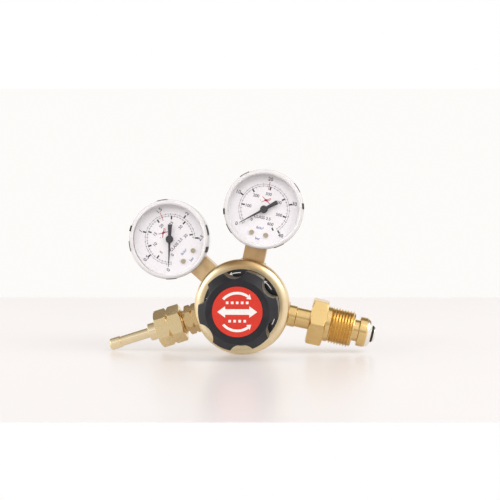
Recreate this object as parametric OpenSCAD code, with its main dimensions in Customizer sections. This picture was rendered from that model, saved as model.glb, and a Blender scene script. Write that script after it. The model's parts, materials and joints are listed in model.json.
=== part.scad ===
// Side-entry acetylene pressure regulator with two gauges, in millimetres.
// X runs to the right along the inlet side, Y runs from the adjusting knob to the back, Z is up.
// The model stands on its bonnet and on the tip of its hose tail, with the table at Z = 0.

/* [Ports] */
// Angle of the inlet arm, from +X towards +Z
inlet_angle = -12.5; // [-13.5:0.5:-11.5]
// Angle of the high-pressure gauge
inlet_gauge_angle = 77.5; // [76:0.5:79]
// Angle of the low-pressure gauge
outlet_gauge_angle = 137.5; // [136:0.5:139]
// Angle of the outlet arm, which lets the tip of the hose tail touch the table
outlet_angle = 197.7; // [197:0.1:197.7]
// Height of the outlet arm's axis over the parallel line through the adjusting axis
outlet_offset = 1.3; // [1.2:0.1:1.4]
// Distance of the four port faces from the adjusting axis
port_face_r = 28.6; // [28.4:0.1:28.8]
// Radius of the bosses that carry the ports
boss_r = 8.3; // [8:0.1:8.3]
// Radius of the tapped holes for the gauges and the outlet adapter
port_r = 6.6; // [6.5:0.05:6.7]
// Radius of the tapped hole for the inlet nipple
inlet_port_r = 6; // [5.8:0.1:6.1]

/* [Body] */
// Radius of the round body
body_r = 27; // [26:0.5:27.5]
// Depth position of the rear face of the flange behind the bonnet
flange_back_y = -2.5; // [-3:0.1:-2.2]
// Depth position of the body's rear face
body_back_y = 12; // [11:0.5:13]
// Radius of the threaded spigot that the bonnet screws onto
spigot_r = 22.95; // [22.9:0.05:22.95]
// Depth position of the spigot's front face, where the diaphragm seats
spigot_front_y = -13; // [-13.2:0.1:-12.8]
// Radius of the low-pressure chamber under the diaphragm
low_chamber_r = 17.5; // [17.3:0.1:17.7]
// Radius of the high-pressure chamber behind the valve
high_chamber_r = 8; // [7.8:0.1:8.2]

/* [Bonnet] */
// Outside radius of the bonnet, which rests on the table
bonnet_r = 29.4; // [29.2:0.1:29.6]
// Depth position of the bonnet's rear face
bonnet_back_y = -8.5; // [-8.6:0.1:-8.5]
// Depth position where the front edge starts to round over
bonnet_edge_y = -15.5; // [-16:0.1:-15]
// Radius of the rounded front edge
bonnet_edge_r = 4.5; // [4:0.1:5]
// Outside radius of the spring housing
housing_r = 14.5; // [14:0.1:14.6]
// Depth position of the front of the spring housing
housing_front_y = -42; // [-42.2:0.1:-41.8]
// Radius of the spring bore
spring_bore_r = 11.8; // [11.6:0.1:12]
// Outside radius of the black label ring
label_r = 23.4; // [23:0.1:24]
// Thickness of the diaphragm
diaphragm_t = 0.8; // [0.7:0.05:0.9]

/* [Knob] */
// Radius over the six lobes
knob_r = 23.6; // [23.3:0.1:23.8]
// Radius of the flat front face
knob_face_r = 18.8; // [18.5:0.1:19]
// Depth position of the knob's front face
knob_front_y = -54; // [-54.5:0.1:-53.8]
// Depth position where the shoulder starts
knob_shoulder_y = -48.5; // [-49:0.1:-48]
// Depth position of the knob's rear edge
knob_back_y = -27; // [-27.5:0.1:-26.5]
// Radius of each finger scallop
scallop_r = 7.9; // [7.6:0.1:8]
// Radius of the red disc in the front face
disc_r = 14.65; // [14.4:0.05:14.8]
// Radius of the adjusting screw's thread
screw_r = 4.95; // [4.9:0.01:4.95]
// Width across flats of the adjusting screw's head
screw_head_af = 16; // [15.5:0.1:16.4]

/* [Inlet] */
// Radius of the inlet nipple where the nut runs on it
nipple_r = 6.15; // [6:0.05:6.15]
// Width across flats of the inlet nut
inlet_nut_af = 27.3; // [27:0.1:27.6]
// Distance of the inlet nut's inner face from the adjusting axis
inlet_nut_start = 42.4; // [42.2:0.1:42.7]
// Thickness of the inlet nut's hexagon
inlet_hex_h = 10; // [9.6:0.1:10.2]
// Radius over the crests of the inlet thread
inlet_thread_r = 11.45; // [11.4:0.01:11.48]
// Length of the inlet thread
inlet_thread_h = 14.1; // [13.8:0.1:14.3]
// Radius of the collar that seats in the cylinder valve
nose_collar_r = 9.3; // [9:0.1:9.4]
// Radius of the plain neck between the hexagon and the thread
inlet_relief_r = 11; // [10.8:0.1:11.2]
// Radius of the thicker front part of the inlet tube
front_tube_r = 6.8; // [6.6:0.1:6.9]
// Distance of the nipple's tip from the adjusting axis
nose_tip = 84; // [83.9:0.1:84.3]

/* [Outlet] */
// Width across flats of the outlet adapter
adapter_af = 16.3; // [16:0.1:16.6]
// Width across flats of the outlet nut
outlet_nut_af = 20.8; // [20.5:0.1:21]
// Distance of the outlet nut's inner face from the adjusting axis
outlet_nut_start = 39.7; // [39.5:0.1:40]
// Length of the outlet nut
outlet_nut_h = 16.9; // [16.6:0.1:17.2]
// Radius of the outlet thread
outlet_thread_r = 7.94; // [7.9:0.01:7.95]
// Radius of the hose tail's plain tube
tail_r = 3.2; // [3.1:0.05:3.3]
// Radius of the hose tail's barb
barb_r = 3.7; // [3.6:0.05:3.8]
// Distance of the hose tail's tip from the adjusting axis
tail_tip = 88.8; // [88.5:0.1:89]

/* [Gauges] */
// Distance of each gauge's centre from the adjusting axis
gauge_centre_r = 61.5; // [61.3:0.1:61.8]
// Outside radius of the clear lens
lens_r = 24.6; // [24.5:0.05:24.75]
// Outside radius of the case
case_r = 24; // [23.9:0.05:24]
// Depth position of the lens's front face
lens_front_y = -17.5; // [-17.8:0.1:-17.3]
// Depth position of the case's back
case_back_y = 10; // [9.8:0.1:10.5]
// Radius of the dial
dial_r = 22.7; // [22.5:0.1:22.8]
// Width of the square stem
stem_w = 13.5; // [13.3:0.1:14]
// Length of the pointer from its axis to its tip
pointer_tip = 17.2; // [16.5:0.1:18]
// Angle of the pointer at rest, from the dial's right-hand side
pointer_rest = 220.5; // [218:0.5:222]
// Angle that the pointer turns through over the whole scale
pointer_sweep = 266; // [260:1:270]

/* [Gauge movement] */
// Module of the pinion and the sector
tooth_module = 0.3; // [0.29:0.01:0.3]
// Teeth on the pinion
pinion_teeth = 10; // [10:1:10]
// Teeth that the sector would have as a whole wheel
sector_teeth = 55; // [55:1:55]
// Teeth cut on the sector
sector_cut = 11; // [9:2:11]
// Middle radius of the pressure tube
tube_mean_r = 17.5; // [17.4:0.1:17.6]
// Distance of the link's pivot from the sector's arbor
tail_arm = 4; // [3.8:0.1:4]

/* [Hidden] */
$fn = 72;

brass = [0.83, 0.66, 0.36];
dark_brass = [0.66, 0.49, 0.25];
steel = [0.72, 0.73, 0.75];
chrome = [0.86, 0.87, 0.89];
bronze = [0.60, 0.42, 0.26];
rubber = [0.12, 0.12, 0.13];
black_plastic = [0.14, 0.13, 0.15];
red_print = [0.84, 0.13, 0.08];
dial_white = [0.94, 0.93, 0.96];
clear = [0.85, 0.90, 0.95, 0.35];

// The table is level with the bottom of the bonnet, and the origin is under the middle of the box
centre_shift = [1.49, 17.2, bonnet_r];
eps = 1;            // how far a cutting shape runs past the face it opens
slide_gap = 0.05;   // radial clearance of a running fit
port_angles = [inlet_angle, inlet_gauge_angle, outlet_gauge_angle, outlet_angle];

// Depth positions of the pieces stacked on the adjusting axis
shoulder_y = spigot_front_y - diaphragm_t - 0.7;
plate_back_y = spigot_front_y - diaphragm_t;
plate_front_y = plate_back_y - 2;
label_floor_y = bonnet_edge_y - bonnet_edge_r + 0.3;
housing_end_t = 6;
screw_tip_y = -34.55;
button_front_y = -35.5;
button_back_y = -32.5;
web_front_y = -7;
web_back_y = -2.6;
seat_y = -1.5;
cap_face_y = body_back_y + 2;
cap_inner_y = 5.5;
poppet_head_y = 0.9;
pin_tip_y = -10.9;
pilot_r = 7.4;      // radius of the pilots that centre the main spring

// Distances along the inlet arm
inlet_relief_start = inlet_nut_start + inlet_hex_h;
inlet_thread_start = inlet_relief_start + 3.6;
inlet_nut_end = inlet_thread_start + inlet_thread_h;
front_tube_start = 56;
collar_start = 73.5;
collar_end = 78.3;
groove_start = 81.7;
groove_end = 83;
port_floor = 18;
flange_r = port_face_r - 0.2;
fitting_start = port_floor + 0.2;

// Distances along the outlet arm
adapter_hex_end = 37;
adapter_end = 47.5;
nut_shoulder = 52;
tail_collar_r = 5.6;
tail_collar_end = 62.3;
barb_start = 81.3;
tail_bore_r = 2;

// Places inside a gauge, from its centre
dial_y = -9.5;
dial_t = 0.5;
case_front_y = -13.5;
case_t = 1;
stem_foot = port_face_r - gauge_centre_r;
spigot_foot = fitting_start - gauge_centre_r;
block_top = -14.8;
screw_x = 4.5;
screw_z = -15.4;
arbor_r = 0.6;
front_plate_y = -6.7;
back_plate_y = 4;
plate_t = 0.8;
gear_y = -2.9;
gear_t = 1.6;
link_y = -1;
link_t = 0.6;
tube_half_y = 3.5;
tube_half_r = 1.2;
tube_tip_angle = -16;
tube_root_angle = 266;
lug_angle = -25;
lug_r = 17.55;
pinion_r = tooth_module * pinion_teeth / 2;
sector_r = tooth_module * sector_teeth / 2;
sector_z = -(pinion_r + sector_r);
half_swing = pointer_sweep * pinion_teeth / sector_teeth / 2;
pressure_angle = 25;

// Points of an arc about c, from angle a0 to angle a1
function arc(c, r, a0, a1, steps = 6) =
    [for (i = [0:steps]) let (a = a0 + (a1 - a0) * i / steps) [c[0] + r * cos(a), c[1] + r * sin(a)]];

// Outline of a plain ring, for a turned piece
function band(r0, r1, a, b) = [[r0, a], [r1, a], [r1, b], [r0, b]];

// Involute function of an angle, in degrees
function inv(a) = tan(a) * 180 / PI - a;

// Half of the angle that a tooth takes up at radius r
function tooth_half(r, base_r, pitch_half) =
    pitch_half + inv(pressure_angle) - (r > base_r ? inv(acos(base_r / r)) : 0);

// Outline of one involute tooth about the direction c
function tooth(teeth, c) =
    let (
        pitch_r = tooth_module * teeth / 2,
        base_r = pitch_r * cos(pressure_angle),
        root_r = pitch_r - 1.1 * tooth_module,
        tip_r = pitch_r + 0.8 * tooth_module,
        pitch_half = 90 / teeth - 0.03 / pitch_r * 180 / PI,
        flank_r = max(base_r, root_r + 0.02),
        radii = concat([root_r], [for (i = [0:3]) flank_r + (tip_r - flank_r) * i / 3])
    )
    concat(
        [for (i = [0:4]) let (h = tooth_half(radii[i], base_r, pitch_half))
            radii[i] * [cos(c - h), sin(c - h)]],
        [for (i = [4:-1:0]) let (h = tooth_half(radii[i], base_r, pitch_half))
            radii[i] * [cos(c + h), sin(c + h)]]
    );

// Moves the adjusting axis from the drawing's origin to its place above the table
module placed() {
    translate(centre_shift)
        children();
}

// Lays a shape built along Z along the adjusting axis, with its Z as depth
module along_y() {
    rotate([-90, 0, 0])
        children();
}

// Points a shape built along Z out of a port
module along_port(angle) {
    rotate([0, 90 - angle, 0])
        translate([angle == outlet_angle ? outlet_offset : 0, 0, 0])
            children();
}

// Places a gauge, built about its own centre, on its port
module at_gauge(angle) {
    along_port(angle)
        translate([0, 0, gauge_centre_r])
            children();
}

// Turned piece about the adjusting axis or a gauge's axis, from an outline of [radius, depth]
module turned(outline) {
    along_y()
        rotate_extrude()
            polygon(outline);
}

// Turned piece along a port, from an outline of [radius, distance]
module port_turned(outline) {
    rotate_extrude()
        polygon(outline);
}

// Flat piece in the XZ plane between two depths
module slab(y0, y1) {
    translate([0, y1, 0])
        rotate([90, 0, 0])
            linear_extrude(height = y1 - y0)
                children();
}

// Straight hole or pin parallel to Y
module rod_y(x, z, r, y0, y1) {
    translate([x, y0, z])
        along_y()
            cylinder(r = r, h = y1 - y0);
}

// Hexagon with both ends chamfered at 30 degrees
module hexagon(across_flats, h, turn = 0) {
    corner_r = across_flats / 2 / cos(30);
    edge_r = across_flats / 2 + 0.35;
    chamfer = (corner_r - edge_r) * tan(30);
    intersection() {
        rotate([0, 0, turn])
            cylinder(r = corner_r, h = h, $fn = 6);
        rotate_extrude()
            polygon([
                [0, 0], [edge_r, 0], [corner_r + 0.1, chamfer * 1.1],
                [corner_r + 0.1, h - chamfer * 1.1], [edge_r, h], [0, h]
            ]);
    }
}

// Ring-shaped V groove that marks a left-hand thread on the corners of a hexagon
module corner_notch(across_flats, z) {
    rotate_extrude()
        polygon([
            [across_flats / 2 + 0.15, z],
            [across_flats / 2 + 2, z - 1.6],
            [across_flats / 2 + 2, z + 1.6]
        ]);
}

// Helical spring about the Y axis, with one closed turn at each end
module coil_spring(mean_r, wire_r, y0, y1, turns, steps, sides) {
    count = turns * steps;
    low = y0 + wire_r;
    closed = 2 * wire_r;
    open_pitch = (y1 - y0 - 2 * wire_r - 2 * closed) / (turns - 2);
    function rise(t) =
        t < 1 ? closed * t
        : t > turns - 1 ? closed + open_pitch * (turns - 2) + closed * (t - turns + 1)
        : closed + open_pitch * (t - 1);
    points = [
        for (i = [0:count])
            for (j = [0:sides - 1])
                let (a = 360 * i / steps, b = 360 * j / sides, r = mean_r + wire_r * cos(b))
                    [r * cos(a), low + rise(i / steps) + wire_r * sin(b), r * sin(a)]
    ];
    skin = [
        for (i = [0:count - 1])
            for (j = [0:sides - 1])
                let (k = (j + 1) % sides)
                    [i * sides + j, (i + 1) * sides + j, (i + 1) * sides + k, i * sides + k]
    ];
    first_end = [for (j = [0:sides - 1]) j];
    last_end = [for (j = [sides - 1:-1:0]) count * sides + j];
    polyhedron(points = points, faces = concat(skin, [first_end], [last_end]), convexity = 8);
}

// Brass body: spigot and flange for the bonnet, four port bosses, chambers on both sides of the valve
module body() {
    color(brass)
    placed()
    difference() {
        union() {
            turned([
                [0, spigot_front_y], [spigot_r - 0.5, spigot_front_y], [spigot_r, spigot_front_y + 0.5],
                [spigot_r, bonnet_back_y], [flange_r - 0.5, bonnet_back_y],
                [flange_r, bonnet_back_y + 0.5], [flange_r, flange_back_y - 0.5],
                [flange_r - 0.5, flange_back_y], [body_r, flange_back_y],
                [body_r, body_back_y - 2.5], [body_r - 2.5, body_back_y],
                [14.5, body_back_y], [13.5, cap_face_y], [0, cap_face_y]
            ]);
            for (angle = port_angles)
                along_port(angle)
                    translate([0, 0, 12])
                        cylinder(r = boss_r, h = port_face_r - 12);
        }
        rod_y(0, 0, low_chamber_r, spigot_front_y - eps, web_front_y);
        rod_y(0, 0, 4, web_front_y - eps, web_back_y + eps);
        rod_y(0, 0, high_chamber_r, web_back_y, cap_face_y + eps);
        for (angle = [inlet_gauge_angle, outlet_gauge_angle, outlet_angle])
            along_port(angle)
                translate([0, 0, port_floor])
                    cylinder(r = port_r, h = port_face_r);
        along_port(inlet_angle)
            translate([0, 0, port_floor])
                cylinder(r = inlet_port_r, h = port_face_r);
        high_pressure_drillings();
        low_pressure_drillings();
    }
}

// Radial holes from the inlet and the high-pressure gauge into the chamber behind the valve
module high_pressure_drillings() {
    for (angle = [inlet_angle, inlet_gauge_angle])
        along_port(angle)
            translate([0, 0, 6])
                cylinder(r = 2.2, h = port_floor - 6 + eps);
}

// Holes from the chamber under the diaphragm to the low-pressure gauge and the outlet
module low_pressure_drillings() {
    for (angle = [outlet_gauge_angle, outlet_angle])
        along_port(angle) {
            translate([0, 0, 13.4])
                cylinder(r = 2, h = port_floor - 13.4 + eps);
            rod_y_on_port(15.5, 1.5, web_front_y - eps, 0);
        }
}

// Hole parallel to the adjusting axis at a distance along a port
module rod_y_on_port(distance, r, y0, y1) {
    translate([0, y0, distance])
        along_y()
            cylinder(r = r, h = y1 - y0);
}

// Hexagonal cap that closes the back of the body and guides the valve's stem
module valve_cap() {
    color(brass)
    placed()
    difference() {
        union() {
            turned(band(0, high_chamber_r - slide_gap, cap_inner_y, cap_face_y + 2));
            translate([0, cap_face_y + 0.6, 0])
                along_y()
                    hexagon(22, 5);
        }
        rod_y(0, 0, 1.7, cap_inner_y - eps, 9.5);
    }
}

// Flat seal under the valve cap
module cap_seal() {
    color(bronze)
    placed()
    turned(band(high_chamber_r + 0.05, 10.8, cap_face_y, cap_face_y + 0.6));
}

// Screwed-in nozzle with the raised lip that the valve closes on
module valve_nozzle() {
    color(brass)
    placed()
    turned([
        [1.3, web_front_y], [3.95, web_front_y], [3.95, web_back_y], [5.5, web_back_y],
        [5.5, seat_y - 0.3], [2.3, seat_y - 0.3], [1.9, seat_y], [1.3, seat_y]
    ]);
}

// Valve with its seat disc, the pin that the diaphragm pushes and the guide stem
module valve_poppet() {
    color(steel)
    placed()
    turned([
        [0, pin_tip_y], [0.9, pin_tip_y], [0.9, seat_y + 0.05], [3.5, seat_y + 0.05],
        [3.5, poppet_head_y - 0.4], [3.1, poppet_head_y], [1.6, poppet_head_y],
        [1.6, 7.1], [1.3, 7.4], [0, 7.4]
    ]);
}

// Light spring that closes the valve
module poppet_spring() {
    color(steel)
    placed()
    coil_spring(2.45, 0.3, poppet_head_y, cap_inner_y, 5, 16, 6);
}

// Fabric-reinforced rubber diaphragm
module diaphragm() {
    color(rubber)
    placed()
    turned(band(2.1, 22.4, plate_back_y, spigot_front_y));
}

// Loose ring that lets the bonnet turn on the diaphragm's rim without twisting it
module slip_ring() {
    color(brass)
    placed()
    turned(band(low_chamber_r, 22.4, shoulder_y, plate_back_y));
}

// Plate in front of the diaphragm, with the spring's pilot and the clamping stud
module diaphragm_plate() {
    color(brass)
    placed()
    turned([
        [0, plate_front_y - 1.4], [pilot_r - 0.5, plate_front_y - 1.4],
        [pilot_r, plate_front_y - 0.9], [pilot_r, plate_front_y], [14.4, plate_front_y],
        [15, plate_front_y + 0.6], [15, plate_back_y], [1.95, plate_back_y],
        [1.95, pin_tip_y], [0, pin_tip_y]
    ]);
}

// Flanged nut that clamps the diaphragm to its plate
module diaphragm_nut() {
    color(brass)
    placed()
    difference() {
        union() {
            turned(band(0, 9, spigot_front_y, spigot_front_y + 0.7));
            translate([0, spigot_front_y + 0.5, 0])
                along_y()
                    hexagon(7, 2);
        }
        rod_y(0, 0, 2, spigot_front_y - eps, spigot_front_y + 3);
    }
}

// Main spring between the diaphragm plate and the spring button
module main_spring() {
    color(steel)
    placed()
    coil_spring(8.7, 1.1, button_back_y, plate_front_y, 4.5, 24, 8);
}

// Button that the adjusting screw presses on the main spring
module spring_button() {
    color(steel)
    placed()
    turned([
        [0, button_front_y + 1], [5.3, button_front_y + 1], [5.3, button_front_y],
        [10.9, button_front_y], [11.3, button_front_y + 0.4], [11.3, button_back_y],
        [pilot_r, button_back_y], [pilot_r, button_back_y + 1], [pilot_r - 0.5, button_back_y + 1.5],
        [0, button_back_y + 1.5]
    ]);
}

// Adjusting screw with the hexagonal head that is moulded into the knob
module adjusting_screw() {
    color(steel)
    placed() {
        turned([
            [0, knob_shoulder_y - 0.5], [screw_r, knob_shoulder_y - 0.5],
            [screw_r, screw_tip_y - 0.8], [screw_r - 0.8, screw_tip_y], [0, screw_tip_y]
        ]);
        translate([0, knob_shoulder_y - 3.5, 0])
            along_y()
                hexagon(screw_head_af, 3.5);
    }
}

// Brass bonnet: rounded ring, spring housing and the tapped end for the adjusting screw
module bonnet() {
    front_y = bonnet_edge_y - bonnet_edge_r;
    edge_centre = [bonnet_r - bonnet_edge_r, bonnet_edge_y];
    color(brass)
    placed()
    difference() {
        turned(concat(
            [[spigot_r + slide_gap, bonnet_back_y], [bonnet_r - 0.5, bonnet_back_y],
             [bonnet_r, bonnet_back_y - 0.5]],
            arc(edge_centre, bonnet_edge_r, 0, -90, 8),
            [[label_r + 0.2, front_y], [label_r + 0.2, label_floor_y],
             [housing_r, label_floor_y], [housing_r, housing_front_y + 1.2],
             [housing_r - 1.2, housing_front_y], [screw_r + slide_gap, housing_front_y],
             [screw_r + slide_gap, housing_front_y + housing_end_t],
             [spring_bore_r, housing_front_y + housing_end_t],
             [spring_bore_r, shoulder_y - 3], [16.5, shoulder_y - 3],
             [16.5, shoulder_y], [spigot_r + slide_gap, shoulder_y]]
        ));
        // Vent hole of the spring housing, on its upper side under the knob
        translate([0, -23.5, 0])
            rotate([0, 30, 0])
                cylinder(r = 1, h = housing_r + 2);
    }
}

// Black label ring on the bonnet's face
module bonnet_label() {
    color(black_plastic)
    placed()
    turned(band(housing_r + 0.2, label_r, bonnet_edge_y - bonnet_edge_r, label_floor_y));
}

// Front view of the knob: a disc with six finger scallops
module knob_outline() {
    difference() {
        circle(r = knob_r);
        for (k = [0:5])
            rotate(35 + 60 * k)
                translate([scallop_r + knob_face_r + 0.4, 0])
                    circle(r = scallop_r);
    }
}

// Moulded knob with a sloping shoulder, a cavity over the spring housing and hollow lobes
module knob() {
    cavity_r = 15.5;
    color(black_plastic)
    placed()
    difference() {
        intersection() {
            slab(knob_front_y, knob_back_y)
                knob_outline();
            turned(concat(
                [[0, knob_back_y], [knob_r - 0.7, knob_back_y], [knob_r, knob_back_y - 0.7],
                 [knob_r, knob_shoulder_y + 0.6], [knob_r - 0.25, knob_shoulder_y]],
                arc([knob_face_r - 0.6, knob_front_y + 0.9], 0.9, -25, -90, 3),
                [[0, knob_front_y]]
            ));
        }
        rod_y(0, 0, cavity_r, knob_shoulder_y, knob_back_y + eps);
        translate([0, knob_shoulder_y - 3.5, 0])
            along_y()
                cylinder(r = screw_head_af / 2 / cos(30) + 0.02, h = 4, $fn = 6);
        rod_y(0, 0, disc_r + 0.1, knob_front_y - eps, knob_front_y + 0.5);
        for (k = [0:5])
            lobe_pocket(5 + 60 * k);
    }
}

// Pocket moulded into a lobe from the back, which keeps the wall even
module lobe_pocket(angle) {
    half_span = 8;
    along_y()
        rotate_extrude(angle = 2 * half_span, start = -angle - half_span)
            polygon(band(17.3, knob_r - 2.2, knob_shoulder_y + 3, knob_back_y + eps));
}

// Red disc set into the knob's front face
module knob_disc() {
    color(red_print)
    placed()
    turned(band(0, disc_r, knob_front_y, knob_front_y + 0.5));
}

// Inlet nipple: threaded root, stepped tube, seating collar, rounded nose and seal groove
module inlet_nipple() {
    bore_r = 4.6;
    nose_bore_r = 3;
    color(brass)
    placed()
    along_port(inlet_angle)
    port_turned(concat(
        [[bore_r, fitting_start], [inlet_port_r - slide_gap, fitting_start],
         [inlet_port_r - slide_gap, port_face_r], [nipple_r + 0.6, port_face_r],
         [nipple_r + 0.6, 33.4], [nipple_r, 33.9], [nipple_r, front_tube_start],
         [front_tube_r, front_tube_start + 0.5], [front_tube_r, collar_start],
         [nose_collar_r - 0.3, collar_start], [nose_collar_r, collar_start + 0.3],
         [nose_collar_r, collar_end - 0.3], [nose_collar_r - 0.3, collar_end]],
        arc([nose_collar_r - 3.7, collar_end], 3.4, 0, 71, 8),
        [[5, groove_start], [4.15, groove_start], [4.15, groove_end], [4.9, groove_end],
         [4.9, nose_tip - 0.5], [4.4, nose_tip], [nose_bore_r, nose_tip],
         [nose_bore_r, collar_start - 3], [bore_r, collar_start - 4]]
    ));
}

// Sintered filter in the nipple's bore
module inlet_filter() {
    color(bronze)
    placed()
    along_port(inlet_angle)
    port_turned([
        [0, 74], [2.98, 74], [2.98, 81.6], [2.5, 82.1], [0, 82.1]
    ]);
}

// Left-hand inlet nut that turns freely on the nipple
module inlet_nut() {
    color(brass)
    placed()
    along_port(inlet_angle)
    difference() {
        union() {
            translate([0, 0, inlet_nut_start])
                hexagon(inlet_nut_af, inlet_hex_h, 32.5);
            port_turned([
                [0, inlet_relief_start - 2], [inlet_relief_r, inlet_relief_start - 2],
                [inlet_relief_r, inlet_thread_start - 0.9],
                [inlet_thread_r - 0.6, inlet_thread_start - 0.9],
                [inlet_thread_r, inlet_thread_start], [inlet_thread_r, inlet_nut_end - 0.9],
                [inlet_thread_r - 0.9, inlet_nut_end], [0, inlet_nut_end]
            ]);
        }
        translate([0, 0, inlet_nut_start - eps])
            cylinder(r = nipple_r + slide_gap, h = inlet_nut_end);
        // Recess that takes the nipple's collar when the nut is screwed home
        translate([0, 0, inlet_relief_start])
            cylinder(r = nose_collar_r + 0.2, h = inlet_nut_end);
    }
}

// Sealing ring on the nose of the nipple
module inlet_o_ring() {
    color(rubber)
    placed()
    along_port(inlet_angle)
    translate([0, 0, (groove_start + groove_end) / 2])
        rotate_extrude()
            translate([4.75, 0])
                circle(r = 0.55);
}

// Outlet adapter: hexagon with a left-hand notch, external thread and conical seat
module outlet_adapter() {
    bore_r = 2.5;
    color(brass)
    placed()
    along_port(outlet_angle)
    difference() {
        union() {
            translate([0, 0, fitting_start])
                cylinder(r = port_r - slide_gap, h = adapter_hex_end - fitting_start);
            translate([0, 0, port_face_r])
                hexagon(adapter_af, adapter_hex_end - port_face_r, 4.5);
            port_turned([
                [0, adapter_hex_end - 2], [outlet_thread_r - 1, adapter_hex_end - 2],
                [outlet_thread_r - 1, adapter_hex_end + 1.4], [outlet_thread_r, adapter_hex_end + 2.4],
                [outlet_thread_r, adapter_end - 0.6], [outlet_thread_r - 0.6, adapter_end],
                [0, adapter_end]
            ]);
        }
        corner_notch(adapter_af, (port_face_r + adapter_hex_end) / 2);
        translate([0, 0, fitting_start - eps])
            cylinder(r = bore_r, h = tail_tip);
        // Conical seat for the nose of the hose tail
        port_turned([
            [0, adapter_end - 2.58], [bore_r, adapter_end - 2.58],
            [bore_r + 3.58, adapter_end + 1], [0, adapter_end + 1]
        ]);
    }
}

// Left-hand outlet nut with its corners notched half way along
module outlet_nut() {
    color(brass)
    placed()
    along_port(outlet_angle)
    difference() {
        translate([0, 0, outlet_nut_start])
            hexagon(outlet_nut_af, outlet_nut_h, 4.5);
        corner_notch(outlet_nut_af, outlet_nut_start + outlet_nut_h / 2);
        translate([0, 0, outlet_nut_start - eps])
            cylinder(r = outlet_thread_r + 0.06, h = nut_shoulder - outlet_nut_start + eps);
        translate([0, 0, outlet_nut_start])
            cylinder(r = tail_collar_r + slide_gap, h = tail_tip);
    }
}

// Hose tail: conical nose, flange held by the nut, collar, plain tube and barb
module hose_tail() {
    color(brass)
    placed()
    along_port(outlet_angle)
    port_turned([
        [tail_bore_r, adapter_end - 2.1], [2.9, adapter_end - 2.1], [5.6, adapter_end + 0.6],
        [7.5, adapter_end + 0.6], [7.5, nut_shoulder - slide_gap],
        [tail_collar_r, nut_shoulder - slide_gap], [tail_collar_r, tail_collar_end - 0.3],
        [tail_collar_r - 0.3, tail_collar_end], [tail_r, tail_collar_end],
        [tail_r, barb_start], [barb_r, barb_start + 0.2], [barb_r, tail_tip - 1],
        [barb_r - 0.6, tail_tip], [tail_bore_r, tail_tip]
    ]);
}

// Cup-shaped gauge case with a hole for the stem and one for the blow-out plug
module gauge_case() {
    corner = [case_r - 3, case_back_y - 3];
    color(chrome)
    difference() {
        turned(concat(
            [[3.2, case_back_y - case_t], [3.2, case_back_y]],
            arc(corner, 3, 90, 0),
            [[case_r, case_front_y], [case_r - case_t, case_front_y]],
            arc(corner, 3 - case_t, 0, 90)
        ));
        translate([-stem_w / 2 - slide_gap, -stem_w / 2 - slide_gap, -case_r - eps])
            cube([stem_w + 2 * slide_gap, stem_w + 2 * slide_gap, 6]);
    }
}

// Clear lens that snaps over the case
module gauge_lens() {
    edge_r = 1.6;
    color(clear)
    turned(concat(
        [[0, lens_front_y]],
        arc([lens_r - edge_r, lens_front_y + edge_r], edge_r, -90, 0),
        [[lens_r, -8.3], [lens_r - 0.3, -8], [case_r + 0.05, -8],
         [case_r + 0.05, lens_front_y + edge_r], [0, lens_front_y + edge_r]]
    ));
}

// Seal ring between the lens and the rim of the case
module gauge_lens_seal() {
    color(dial_white)
    turned(band(22.8, case_r, lens_front_y + 1.6, case_front_y));
}

// White dial on the socket's pad
module gauge_dial() {
    color(dial_white)
    difference() {
        turned(band(1.7, dial_r, dial_y, dial_y + dial_t));
        for (side = [-1, 1])
            rod_y(side * screw_x, screw_z, 1.1, dial_y - eps, dial_y + dial_t + eps);
    }
}

// Two slotted screws that hold the dial
module gauge_dial_screws() {
    color(brass)
    for (side = [-1, 1])
        difference() {
            union() {
                rod_y(side * screw_x, screw_z, 1.5, dial_y - 0.9, dial_y);
                rod_y(side * screw_x, screw_z, 0.95, dial_y - 0.5, -7.6);
            }
            translate([side * screw_x - 2, dial_y - 1.4, screw_z - 0.2])
                cube([4, 0.85, 0.4]);
        }
}

// Pointer with its tapered tip, broad tail and hub
module gauge_pointer() {
    color(black_plastic)
    difference() {
        union() {
            slab(-12.4, -11.9)
                rotate(pointer_rest)
                    polygon([
                        [pointer_tip, -0.15], [pointer_tip, 0.15], [0, 0.8],
                        [-9.2, 1.35], [-9.2, -1.35], [0, -0.8]
                    ]);
            turned([
                [0, -13], [1.9, -13], [2.4, -12.7], [2.4, -11.9],
                [1.3, -11.9], [1.3, -10.9], [0, -10.9]
            ]);
        }
        rod_y(0, 0, arbor_r, -12.6, -10);
    }
}

// Arbor with the pinion that turns the pointer
module gauge_pinion_arbor() {
    rest = 90 / pinion_teeth * 2 - 90 + pointer_sweep / 2;
    color(dark_brass) {
        rod_y(0, 0, arbor_r, -12.6, back_plate_y + plate_t - 0.1);
        slab(gear_y - 0.1, gear_y + gear_t + 0.1)
            polygon([
                for (i = [0:pinion_teeth - 1])
                    each tooth(pinion_teeth, rest + 360 / pinion_teeth * i)
            ]);
    }
}

// Flat spiral hairspring that takes up the backlash of the gears
module gauge_hairspring() {
    turns = 3;
    steps = 16;
    half_t = 0.06;
    inner_r = 1.15;
    outer_r = 4.4;
    count = turns * steps;
    function ray(i, off) =
        let (a = 360 * i / steps, r = inner_r + (outer_r - inner_r) * i / count + off)
            [r * cos(a), r * sin(a)];
    color(bronze) {
        slab(1, 1.6)
            polygon(concat(
                [for (i = [0:count]) ray(i, -half_t)],
                [for (i = [count:-1:0]) ray(i, half_t)]
            ));
        difference() {
            rod_y(0, 0, 1.25, 0.8, 1.8);
            rod_y(0, 0, arbor_r + 0.02, 0, 3);
        }
        // Stud that holds the outer end to the rear plate
        rod_y(outer_r, 0, 0.4, 0.9, back_plate_y);
    }
}

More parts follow.
